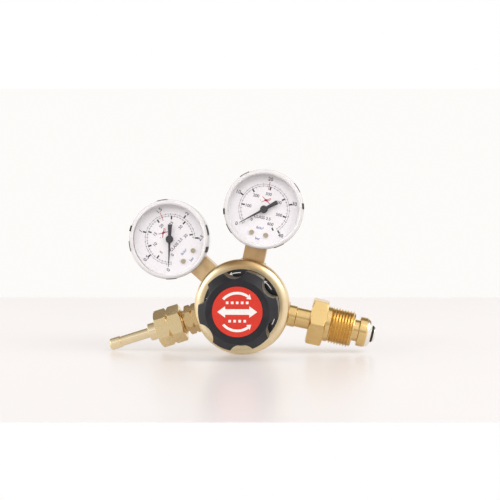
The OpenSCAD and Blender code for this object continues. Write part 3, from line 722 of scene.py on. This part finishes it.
class SoftEdged(Skin):
    """A copy of a CAD node with its sharp edges rounded, which stands for the node."""

    def __init__(self, node: str, width: float, angle: float = 25.0) -> None:
        """Copies and merges the node's mesh, and rounds its edges.

        Args:
            node: the CAD node.
            width: width of the rounding, in millimetres.
            angle: angle between two faces from which their edge counts as sharp.
        """
        super().__init__(Seat(Matrix.Scale(1.0 / MM, 4)))
        self.node = node
        bm = self.bm
        bm.from_mesh(frame["nodes"][node].data)
        bmesh.ops.remove_doubles(bm, verts=bm.verts, dist=1e-6)
        bmesh.ops.dissolve_limit(
            bm, angle_limit=math.radians(0.4), use_dissolve_boundaries=False, verts=bm.verts, edges=bm.edges,
        )
        sharp = [e for e in bm.edges if e.is_manifold and e.calc_face_angle(0.0) > math.radians(angle)]
        bmesh.ops.bevel(
            bm, geom=sharp, offset=width * MM, segments=2, affect="EDGES", clamp_overlap=True,
            profile=0.5, material=-1,
        )

    def stand(self, slot: str, finish: Finish, body: str = "root") -> None:
        """Makes the object and hides the CAD node.

        Args:
            slot: the record's material slot; not used.
            finish: its finish.
            body: the CAD body that it rides on.
        """
        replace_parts(self._object(f"{self.node}_finished", slot, finish, body), self.node)


# Finishes

BRASS = (0.81, 0.585, 0.265)
BRASS_DARK = (0.62, 0.39, 0.14)
BRASS_PALE = (0.90, 0.76, 0.50)
BRASS_TAN = (0.84, 0.62, 0.32)
AXIS = Seat.facing()
INLET = Seat.along(Arm.INLET)
OUTLET = Seat.along(Arm.OUTLET, 1.3)
TURNED, DRAWN, CAST = Grain.TURNED, Grain.DRAWN, Grain.CAST
HEX_PITCH = 0.00035
CAST_PITCH = 0.0006

BODY_BRASS = Metal("body_brass", BRASS, BRASS_DARK, 0.3, TURNED, AXIS)
# Painted shade: the bonnet turns darker brown towards its top, a shade painted into its colour.
BONNET_BRASS = Metal(
    "bonnet_brass", BRASS_PALE, BRASS_TAN, 0.31, TURNED, AXIS, stain=0.4, painted_light=(0.66, 0.42, 0.18),
)
# Painted highlight: the inlet nipple's nose is blended to near white from 78.4 mm out along the arm.
INLET_BRASS = Metal(
    "inlet_brass", BRASS, BRASS_DARK, 0.18, TURNED, INLET,
    painted_light=(1.0, 0.99, 0.95), painted_light_way=(0.0, 0.0, 1.0), painted_light_span=(78.4, 79.2),
)
OUTLET_BRASS = Metal("outlet_brass", (0.93, 0.79, 0.53), BRASS_TAN, 0.17, TURNED, OUTLET)
HEX_BRASS = Metal("hexagon_brass", BRASS, BRASS_DARK, 0.22, DRAWN, INLET, HEX_PITCH)
ADAPTER_BRASS = Metal("adapter_brass", (0.78, 0.58, 0.30), BRASS_DARK, 0.24, DRAWN, OUTLET, HEX_PITCH)
OUTLET_HEX_BRASS = Metal("outlet_hexagon_brass", (0.89, 0.72, 0.42), BRASS_TAN, 0.24, DRAWN, OUTLET, HEX_PITCH)
INNER_BRASS = Metal("inner_brass", BRASS, BRASS_DARK, 0.3, CAST, pitch=CAST_PITCH)
SCREW_BRASS = Metal("screw_brass", (0.42, 0.37, 0.27), (0.24, 0.19, 0.12), 0.36, CAST, pitch=CAST_PITCH)
BRONZE = Metal("bronze", (0.60, 0.36, 0.18), (0.40, 0.22, 0.10), 0.32, CAST, pitch=0.0005)
SINTER = Metal("sintered_bronze", (0.55, 0.34, 0.17), (0.30, 0.18, 0.09), 0.55, CAST, pitch=0.0002, depth=0.00004)
STEEL = Metal("plated_steel", (0.62, 0.63, 0.65), (0.40, 0.41, 0.43), 0.3, TURNED, AXIS)
SPRING_STEEL = Metal("spring_steel", (0.50, 0.51, 0.53), (0.30, 0.30, 0.32), 0.34, CAST, pitch=0.0005)
KNOB_PLASTIC = Moulded("knob_moulding", (0.013, 0.013, 0.017), (0.034, 0.030, 0.038), 0.36, specular=0.36)
LABEL_PLASTIC = Moulded("label_film", (0.010, 0.010, 0.013), (0.018, 0.017, 0.022), 0.2, 0.3, 0.000003, 900.0)
BLACK_RUBBER = Moulded("black_rubber", (0.014, 0.014, 0.015), (0.030, 0.029, 0.030), 0.6)
DIAPHRAGM_RUBBER = Moulded("diaphragm_rubber", (0.020, 0.020, 0.021), (0.05, 0.05, 0.05), 0.7, 0.0, 0.00004, 1500.0)
SEAL_RUBBER = Moulded("pale_seal", (0.78, 0.77, 0.79), (0.85, 0.84, 0.86), 0.5)
POINTER_PAINT = Moulded("pointer_paint", (0.016, 0.013, 0.018), (0.030, 0.026, 0.032), 0.5, specular=0.3)
RED_GROUND = Print("red_ground", (0.68, 0.028, 0.010), 0.36, 0.1, 0.5)
WHITE_INK = Print("white_ink", (0.90, 0.88, 0.86), 0.45, specular=0.5)
DIAL_WHITE = Print("dial_paint", (0.745, 0.728, 0.753), specular=0.3)
BLACK_INK = Print("black_ink", (0.020, 0.018, 0.022))
GREY_INK = Print("grey_ink", (0.07, 0.065, 0.08))
BLUE_INK = Print("blue_ink", (0.10, 0.13, 0.28))
PLUM_INK = Print("plum_ink", (0.10, 0.05, 0.10))
RED_INK = Print("red_ink", (0.50, 0.04, 0.06))


# Sub-assemblies


@dataclass
class Housing:
    """Body and valve cap, and the pieces inside them that never show."""

    edge: float = 0.3

    def build(self) -> None:
        """Rounds the edges of the body and the cap, and dresses what is inside."""
        for node in ("body", "valve_cap"):
            SoftEdged(node, self.edge).stand("brass", BODY_BRASS)
        BRONZE.dress("cap_seal")
        INNER_BRASS.dress("valve_nozzle", "slip_ring", "diaphragm_plate", "diaphragm_nut")
        STEEL.dress("valve_poppet", "spring_button", "adjusting_screw")
        SPRING_STEEL.dress("poppet_spring", "main_spring")
        DIAPHRAGM_RUBBER.dress("diaphragm")


@dataclass
class Bonnet:
    """Bonnet ring with its printed label."""

    edge: float = 0.2
    edge_angle: float = 35.0
    label_edge: float = 0.06
    label_front: float = -20.0
    arrow: Arrow = Arrow(21.35, 0.28, 1.1, 5.0)
    arrow_reach: Pair = (-9.0, 10.5)
    arrows: tuple[float, ...] = (100.0, 40.0, -20.0, -80.0, -140.0, 160.0)

    def build(self) -> None:
        """Rounds the bonnet's edges and prints the label."""
        SoftEdged("bonnet", self.edge, self.edge_angle).stand("brass", BONNET_BRASS)
        SoftEdged("bonnet_label", self.label_edge).stand("label_plastic", LABEL_PLASTIC)
        self.print_label()

    def print_label(self) -> None:
        """White plain arrow in each gap between the knob's lobes."""
        skin = Printing(Seat.facing(self.label_front))
        for angle in self.arrows:
            skin.arrow(self.arrow, *(angle + reach for reach in self.arrow_reach))
        skin.finish("bonnet_label_print", "dial_white", WHITE_INK)


@dataclass
class Knob:
    """Six-lobed knob with a red disc in its face."""

    edge: float = 0.32
    edge_angle: float = 20.0
    disc_edge: float = 0.08
    face_y: float = -54.0
    arrow: Arrow = Arrow(10.9, 0.75, 1.7, 13.0)
    arrow_ends: Pair = (138.0, 42.0)
    shaft: Pair = (14.0, 3.2)
    tip_x: float = 11.6
    barb: Pair = (7.0, 3.3)
    dot: float = 1.5
    dot_pitch: float = 2.9
    dot_rows: tuple[tuple[float, int], ...] = ((5.3, 5), (-5.3, 4))

    def build(self) -> None:
        """Rounds the moulding's edges, and prints the disc."""
        SoftEdged("knob", self.edge, self.edge_angle).stand("knob_plastic", KNOB_PLASTIC, "knob_assembly")
        SoftEdged("knob_disc", self.disc_edge).stand("red_disc", RED_GROUND, "knob_assembly")
        self.print_disc()

    def print_disc(self) -> None:
        """Two plain turning arrows, a double arrow and two rows of dots, in white."""
        skin = Printing(Seat.facing(self.face_y))
        for side in (1, -1):
            skin.arrow(self.arrow, *(side * end for end in self.arrow_ends))
        skin.bar(self.shaft, (0.0, 0.0))
        root_x, half = self.barb
        for side in (-1, 1):
            skin.plate([(side * self.tip_x, 0.0), (side * root_x, half), (side * root_x, -half)][::side])
        for row, count in self.dot_rows:
            for i in range(count):
                skin.bar((self.dot, self.dot), ((i - (count - 1) / 2) * self.dot_pitch, row))
        skin.finish("knob_disc_print", "dial_white", WHITE_INK, "knob_assembly")


@dataclass
class Inlet:
    """Inlet nipple with its seal and filter, and the nut with its left-hand thread."""

    edge: float = 0.12
    hex_flat: float = 27.3
    hex_turn: float = 32.5
    hex_start: float = 42.4
    hex_end: float = 52.4
    hex_chamfer: float = 0.35
    face_inset: float = 0.15
    face_step: float = 0.04
    chamfer_shares: tuple[float, ...] = (0.0, 0.2, 0.4, 0.6, 0.8, 1.0, 1.25)
    lip: float = 0.3
    bore_r: float = 6.2
    recess_r: float = 9.5
    relief_r: float = 11.0
    segments: int = 240
    crest_r: float = 11.45
    root_r: float = 10.3
    pitch: float = 1.814
    thread_start: float = 55.1
    thread_end: float = 70.1
    thread_steps: int = 96
    thread_soft: float = 0.12
    overlap: float = 0.1
    smooth: float = 28.0

    def build(self) -> None:
        """Rounds the nipple's edges, dresses the seal and filter, and makes the nut."""
        SoftEdged("inlet_nipple", self.edge).stand("brass", INLET_BRASS)
        SoftEdged("inlet_o_ring", 0.0).stand("rubber", BLACK_RUBBER)
        SINTER.dress("inlet_filter")
        self.make_nut()

    def make_nut(self) -> None:
        """Chamfered hexagon and a threaded sleeve in one piece."""
        skin = Skin(INLET)
        self._hexagon(skin)
        self._sleeve(skin)
        nut = skin.finish("inlet_nut_threaded", "brass", HEX_BRASS, "inlet_nut", self.smooth)
        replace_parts(nut, "inlet_nut")

    def flank_r(self, angle: float) -> float:
        """Radius of the hexagon's flanks, in a direction in degrees."""
        return self.hex_flat / 2 / math.cos(math.radians((angle - self.hex_turn) % 60.0 - 30.0))

    def _hexagon(self, skin: Skin) -> None:
        """Adds the hexagon, with the bore through it and the plain neck between it and the thread."""
        edge_r = self.hex_flat / 2 + self.hex_chamfer
        reach = self.flank_r(self.hex_turn) - edge_r
        rise = reach * math.tan(math.radians(30))
        start, end, neck_end = self.hex_start, self.hex_end, self.thread_start + self.overlap

        def circle(radius: float, height: float) -> Ring:
            """A round ring."""
            return lambda a: radius, height

        def chamfered(share: float, height: float) -> Ring:
            """A ring of the hexagon, with its corners cut off at a share of the chamfer."""
            limit = edge_r + share * reach
            return lambda a: min(self.flank_r(a), limit), height

        skin.rings([
            circle(self.bore_r, start + self.lip),
            circle(self.bore_r + self.lip, start),
            circle(edge_r - self.face_inset, start),
            *(chamfered(share, start + self.face_step + share * rise) for share in self.chamfer_shares),
            *(chamfered(share, end - self.face_step - share * rise) for share in reversed(self.chamfer_shares)),
            circle(edge_r - self.face_inset, end),
            circle(self.relief_r + self.lip, end),
            circle(self.relief_r, end + self.lip),
            circle(self.relief_r, neck_end),
            circle(self.recess_r, neck_end),
            circle(self.recess_r, end),
            circle(self.bore_r, end),
        ], self.segments)

    def _sleeve(self, skin: Skin) -> None:
        """Adds the threaded sleeve: a helical ridge with its ends cut square and chamfered."""
        part = Skin(INLET)
        bm = part.bm
        low, high = self.thread_start, self.thread_end
        turns = math.ceil((high - low) / self.pitch) + 2
        p, soft = self.pitch, self.thread_soft
        profile = [
            (self.root_r, 0.0), (self.root_r + soft, 0.10 * p), (self.crest_r - soft, 0.42 * p),
            (self.crest_r, 0.48 * p), (self.crest_r, 0.54 * p), (self.crest_r - soft, 0.60 * p),
            (self.root_r + soft, 0.92 * p), (self.root_r, p),
        ]
        bmesh.ops.spin(
            bm, geom=part.line([(r, low - 1.5 * p + z) for r, z in profile]), cent=(0, 0, 0), axis=(0, 0, -1),
            dvec=(0, 0, p / self.thread_steps), angle=math.tau * turns, steps=self.thread_steps * turns,
            use_merge=False, use_duplicate=False,
        )
        bmesh.ops.remove_doubles(bm, verts=bm.verts, dist=1e-4)
        for height, normal in ((low, -1.0), (high, 1.0)):
            cut = bmesh.ops.bisect_plane(
                bm, geom=bm.verts[:] + bm.edges[:] + bm.faces[:], plane_co=(0, 0, height), plane_no=(0, 0, normal),
                clear_outer=True, clear_inner=False, dist=1e-6,
            )["geom_cut"]
            rim = [e for e in cut if isinstance(e, BMEdge) and e.is_boundary]
            inner = bmesh.ops.extrude_edge_only(bm, edges=rim)["geom"]
            for v in (g for g in inner if isinstance(g, BMVert)):
                v.co.xy = v.co.xy.normalized() * self.recess_r
        for v in bm.verts:
            radius = v.co.xy.length
            limit = self.root_r - self.overlap + min(v.co.z - low, high - v.co.z)
            if radius > limit and radius > self.recess_r + self.overlap:
                v.co.xy = v.co.xy * (limit / radius)
        bmesh.ops.bridge_loops(bm, edges=[e for e in bm.edges if e.is_boundary])
        mesh = settle("sleeve", bm)
        skin.bm.from_mesh(mesh)
        bpy.data.meshes.remove(mesh)


@dataclass
class Outlet:
    """Outlet adapter, nut and hose tail."""

    edge: float = 0.22
    tail_edge: float = 0.08

    def build(self) -> None:
        """Rounds the edges of the three pieces."""
        SoftEdged("outlet_adapter", self.edge).stand("brass", ADAPTER_BRASS)
        SoftEdged("outlet_nut", self.edge).stand("brass", OUTLET_HEX_BRASS, "outlet_nut")
        SoftEdged("hose_tail", self.tail_edge).stand("brass", OUTLET_BRASS, "hose_tail")


@dataclass(frozen=True)
class Scale:
    """A dial's outer scale: its last value, the steps of its numbers and marks, and where these stand."""

    top: float
    step: float
    minor: float
    side: int = 1
    arc_r: float = 15.65
    number_r: float = 19.2
    number_size: float = 2.2
    start: float = 225.0
    end: float = -45.0

    def angle(self, value: float) -> float:
        """Direction of a value on the dial, in degrees."""
        return self.start - (self.start - self.end) * value / self.top

    def values(self, step: float) -> list[float]:
        """Values at every step from zero to about the end."""
        return [i * step for i in range(round(self.top / step) + 1)]

    def span(self, near: float, far: float) -> list[float]:
        """Inner and outer radius of a mark that starts and ends at these distances from the arc."""
        return sorted((self.arc_r + self.side * near, self.arc_r + self.side * far))


@dataclass(frozen=True)
class InnerScale(Scale):
    """A dial's inner scale."""

    side: int = -1
    arc_r: float = 14.45
    number_r: float = 9.9
    number_size: float = 1.85


@dataclass
class Gauge:
    """Pressure gauge: case, clear lens, printed dial, pointer and the movement behind the dial."""

    prefix: str
    arm: Arm
    outer: Scale
    inner: InnerScale
    red_at: float
    lens_turn: float = 0.0
    stem_colour: Colour = (0.86, 0.65, 0.38)
    distance: float = 61.5
    dial_y: float = -9.5
    zero_shift: float = 6.0
    sign_y: float = 5.8
    # Angles of the black pieces that paint the shade in the notches of the case's rim: thin ones, then the two
    # broad ones.
    shade_tabs: tuple[float, ...] = (45.0, 131.0, 221.5, 305.0)
    shade_lugs: tuple[float, ...] = (16.5, 195.5)
    seat: Seat = field(init=False)
    dial: Seat = field(init=False)

    def __post_init__(self) -> None:
        """Finds the gauge's seats."""
        self.seat = Seat.facing(0.0, self.arm.value, self.distance)
        self.dial = Seat.facing(self.dial_y, self.arm.value, self.distance)

    def node(self, name: str) -> str:
        """Full name of one of the gauge's pieces."""
        return f"{self.prefix}_{name}"

    def build(self) -> None:
        """Builds the gauge from the back to the front."""
        stem = Metal(
            self.node("stem_brass"), self.stem_colour, (0.58, 0.40, 0.20), 0.32, DRAWN, Seat.along(self.arm),
            pitch=0.0004, depth=0.000012, stain=0.6,
        )
        case = Metal(
            self.node("case_plating"), (0.86, 0.87, 0.89), (0.72, 0.73, 0.75), 0.14, TURNED, self.seat,
            pitch=0.0005, depth=0.000002, stain=0.2,
        )
        SoftEdged(self.node("socket"), 0.2).stand("brass", stem)
        SoftEdged(self.node("case"), 0.12).stand("chrome", case)
        SoftEdged(self.node("dial"), 0.06).stand("dial_white", DIAL_WHITE)
        SEAL_RUBBER.dress(self.node("lens_seal"))
        Clear(self.node("clear_lens"), self.seat).dress(self.node("lens"))
        SCREW_BRASS.dress(self.node("dial_screws"))
        INNER_BRASS.dress(*(self.node(n) for n in ("pinion_arbor", "sector", "link", "movement_frame")))
        BRONZE.dress(self.node("hairspring"), self.node("bourdon_tube"))
        BLACK_RUBBER.dress(self.node("blowout_plug"))
        SoftEdged(self.node("pointer"), 0.05).stand("pointer_black", POINTER_PAINT, self.node("pointer"))
        self.print_scales()
        self.print_units()
        self.add_rim_shade()

    def print_scales(self) -> None:
        """Prints the two arcs, their marks and their numbers."""
        fine, bold, red = (Printing(self.dial) for _ in range(3))
        radii = (self.inner.arc_r, self.outer.arc_r)
        ends = (self.outer.start, self.outer.end)
        for radius in radii:
            fine.arc(radius, 0.09, *ends)
        for end in ends:
            fine.tick(end, *radii, 0.18)
        self._print_scale(self.outer, fine, bold)
        self._print_scale(self.inner, fine, bold)
        fine.finish(self.node("dial_print"), "pointer_black", GREY_INK)
        bold.finish(self.node("dial_marks"), "pointer_black", BLACK_INK)
        red.tick(self.outer.angle(self.red_at), radii[0] - 2.2, radii[1] + 1.8, 0.4)
        self._no_oil_sign(red)
        red.finish(self.node("dial_red_line"), "red_disc", RED_INK)

    def _print_scale(self, scale: Scale, fine: Printing, bold: Printing) -> None:
        """Prints one scale, but no broad mark at zero or at the red line.

        Args:
            scale: the scale.
            fine: the print for its numbers and thin marks.
            bold: the print for its broad marks.
        """
        for value in scale.values(scale.minor):
            if scale.angle(value) > scale.end - 0.5:
                fine.tick(scale.angle(value), *scale.span(-0.5, 0.6), 0.2)
        for value in scale.values(scale.step):
            angle = scale.angle(value)
            if value > 0 and not (scale is self.outer and value == self.red_at):
                bold.tick(angle, *scale.span(0.1, 2.1), 0.95)
            if value == 0:
                angle -= self.zero_shift * scale.side
            fine.words(f"{value:g}", scale.number_size, polar(scale.number_r, angle))

    def _no_oil_sign(self, skin: Printing) -> None:
        """Adds the general sign of a crossed-out oil can above the hub."""
        for lean in (33.0, -33.0):
            skin.bar((6.4, 0.42), (0.0, self.sign_y), lean=lean)
        skin.plate([(-1.2, 5.1), (1.2, 5.1), (0.8, 6.5), (-0.8, 6.5)])
        skin.plate([(1.0, 5.5), (1.2, 5.2), (3.1, 6.9), (2.9, 7.1)])
        skin.bar((0.5, 0.5), (-3.4, 5.2))

    def print_units(self) -> None:
        """Prints the two units and the accuracy class."""
        units, grade = Printing(self.dial), Printing(self.dial)
        units.words("bar", 1.6, (0.0, -18.4))
        units.words("lb/in\u00b2", 1.6, (0.0, -11.7))
        units.finish(self.node("dial_units"), "pointer_black", BLUE_INK)
        grade.words("CLASS 2.5", 1.75, (0.0, -5.1))
        grade.finish(self.node("dial_class"), "pointer_black", PLUM_INK)

    def add_rim_shade(self) -> None:
        """Adds black pieces as painted shade, for the dark seen through the notches of the case's rim in the rim of
        the lens.
        """
        skin = Skin(self.seat)
        for angles, radii, levels, half in (
            (self.shade_tabs, (24.3, 24.8), (10.0, 16.75), 7.5),
            (self.shade_lugs, (23.75, 24.85), (10.0, 17.35), 4.2),
        ):
            for angle in (a + self.lens_turn for a in angles):
                skin.sector(radii, levels, angle - half, angle + half)
        skin.finish(self.node("rim_tabs"), "rubber", BLACK_RUBBER)


# Studio


@dataclass(frozen=True)
class Softbox:
    """Rectangular light, with the point that it faces."""

    name: str
    place: Triple
    size: Pair
    watts: float
    aim: Triple = (0.0, 0.0, 0.05)
    tint: Colour = (1.0, 0.99, 0.97)

    def add(self) -> Object:
        """Adds the light.

        Returns:
            The light.
        """
        data = bpy.data.lights.new(self.name, "AREA")
        data.shape = "RECTANGLE"
        data.size, data.size_y = self.size
        data.energy = self.watts
        data.color = self.tint
        light = link(self.name, data)
        light.location = self.place
        light.rotation_euler = (Vector(self.aim) - Vector(self.place)).to_track_quat("-Z", "Y").to_euler()
        return light


@dataclass
class Studio:
    """Camera, table, lights and surroundings."""

    camera_at: Triple = (0.0454234, -0.6103327, 0.0774573)
    yaw: float = 0.0636
    pitch: float = 0.0213
    focal_px: float = 998.1
    frame_px: float = 500.0
    table_near: float = 0.3976
    table_far: float = 1.124
    table_half: float = 2.2
    picture_top: float = 0.1608
    sky_levels: tuple[Pair, ...] = (
        (0.0, 0.85), (20.0, 1.05), (45.0, 1.4), (70.0, 1.15), (84.0, 0.95),
        (91.0, 0.26), (115.0, 0.2), (124.0, 0.9), (155.0, 1.3), (180.0, 0.95),
    )
    pale: Colour = (1.0, 0.975, 0.95)
    brown: Colour = (1.0, 0.80, 0.62)
    ceiling: Colour = (0.30, 0.26, 0.22)
    front: Colour = (0.62, 0.60, 0.58)
    floor: Colour = (0.76, 0.67, 0.60)
    wall: Colour = (0.982, 0.968, 0.948)
    white: Colour = (1.0, 1.0, 1.0)

    def build(self) -> None:
        """Sets everything up."""
        self.add_camera()
        self.add_table()
        self.add_lights()
        self.add_surroundings()
        bpy.context.scene.view_settings.view_transform = "Standard"

    def add_camera(self) -> None:
        """Adds the camera at the photograph's viewing angle."""
        data = bpy.data.cameras.new("camera")
        data.sensor_width = 36.0
        data.lens = self.focal_px * data.sensor_width / self.frame_px
        data.clip_start, data.clip_end = 0.01, 50.0
        camera = link("camera", data)
        camera.location = self.camera_at
        camera.rotation_euler = (math.radians(90.0) - self.pitch, 0.0, self.yaw)
        bpy.context.scene.camera = camera

    def add_table(self) -> None:
        """Adds the pale table that the regulator stands on, square to the camera."""
        (x, y, _), near, far = self.camera_at, self.table_near, self.table_far
        place = Matrix.Translation((x, y, 0.0)) @ Matrix.Rotation(self.yaw, 4, "Z")
        place @= Matrix.Translation((0.0, (far + near) / 2, 0.0))
        place @= Matrix.Diagonal((self.table_half, (far - near) / 2, 1.0, 1.0))
        bm = bmesh.new()
        bmesh.ops.create_grid(bm, x_segments=1, y_segments=1, size=1.0, matrix=place)
        mesh = settle("table", bm)
        mesh.materials.append(Table("table_top", (0.575, 0.58, 0.60), (0.275, 0.248, 0.235)).material())
        link("table", mesh)

    def add_lights(self) -> None:
        """Adds a soft light over each shoulder, and a fill that only lights the gauges."""
        Softbox("right_shoulder", (0.75, -0.45, 0.75), (0.7, 0.6), 4.0).add()
        Softbox("left_shoulder", (-0.95, -0.45, 0.5), (0.6, 0.6), 3.0).add()
        fill = Softbox("gauge_fill", (0.0, -1.1, 0.58), (1.6, 0.6), 9.0, (0.0, 0.0, 0.09), (1.0, 0.985, 1.0)).add()
        lit = bpy.data.collections.new("gauge_fill_receivers")
        for item in bpy.data.objects:
            if item.type == "MESH" and "_gauge_" in item.name and "socket" not in item.name:
                lit.objects.link(item)
        fill.light_linking.receiver_collection = lit

    def add_surroundings(self) -> None:
        """Paints the room: white wall behind, bright sides and front, darker strip and ceiling above."""
        world = bpy.data.worlds.new("surroundings")
        world.use_nodes = True
        bpy.context.scene.world = world
        kit = NodeKit(world.node_tree)
        way = kit.add("ShaderNodeTexCoord").outputs["Generated"]
        across, back, up = kit.split(way)
        share = up.over_angle(across) / math.pi
        stops = []
        for angle, level in self.sky_levels:
            tint = self.pale if level > 0.5 else self.brown
            stops.append((angle / 180.0, tuple(level * part for part in tint)))
        sky = kit.add("ShaderNodeValToRGB", {0: share}, {"stops": stops}).outputs[0]
        for mask, colour in (
            (back.ramp(0.05, 0.35) * up.ramp(0.25, 0.5), self.ceiling),
            (back.ramp(-0.90, -0.985), self.front),
            (up.ramp(0.02, -0.08), self.floor),
        ):
            sky = kit.blend(mask, sky, colour)
        turn = Matrix.Rotation(self.yaw, 3, "Z") @ Matrix.Rotation(-self.pitch, 3, "X")
        rise = kit.dot(way, turn @ Vector((0.0, 0.0, 1.0))) / kit.dot(way, turn @ Vector((0.0, 1.0, 0.0)))
        beyond = rise.ramp(self.picture_top, self.picture_top + 0.0015).at_least(rise.ramp(-0.10, -0.14))
        low_wall = back.ramp(0.30, 0.55) * (1.0 - up.ramp(0.08, 0.25))
        behind = back.ramp(0.72, 0.88).at_least(low_wall)
        light = kit.blend(behind, sky, kit.blend(beyond, self.wall, self.white))
        shader = kit.add("ShaderNodeBackground", {"Color": light, "Strength": 1.0})
        kit.add("ShaderNodeOutputWorld", {"Surface": shader.outputs[0]})


def main() -> None:
    """Builds every sub-assembly and the studio."""
    logging.basicConfig(level=logging.INFO, format="%(name)s %(message)s")
    high = Gauge(
        "inlet_gauge", Arm.HIGH_PRESSURE, Scale(40.0, 10.0, 2.0), InnerScale(580.0, 100.0, 20.0), red_at=20.0,
        stem_colour=(0.68, 0.475, 0.26),
    )
    low = Gauge(
        "outlet_gauge", Arm.LOW_PRESSURE, Scale(2.5, 0.5, 0.1), InnerScale(36.26, 5.0, 1.0), red_at=1.5,
        lens_turn=-79.0,
    )
    for part in (Housing(), Bonnet(), Knob(), Inlet(), Outlet(), high, low, Studio()):
        part.build()
        LOG.info("built %s", type(part).__name__)


if __name__ == "__main__":
    main()
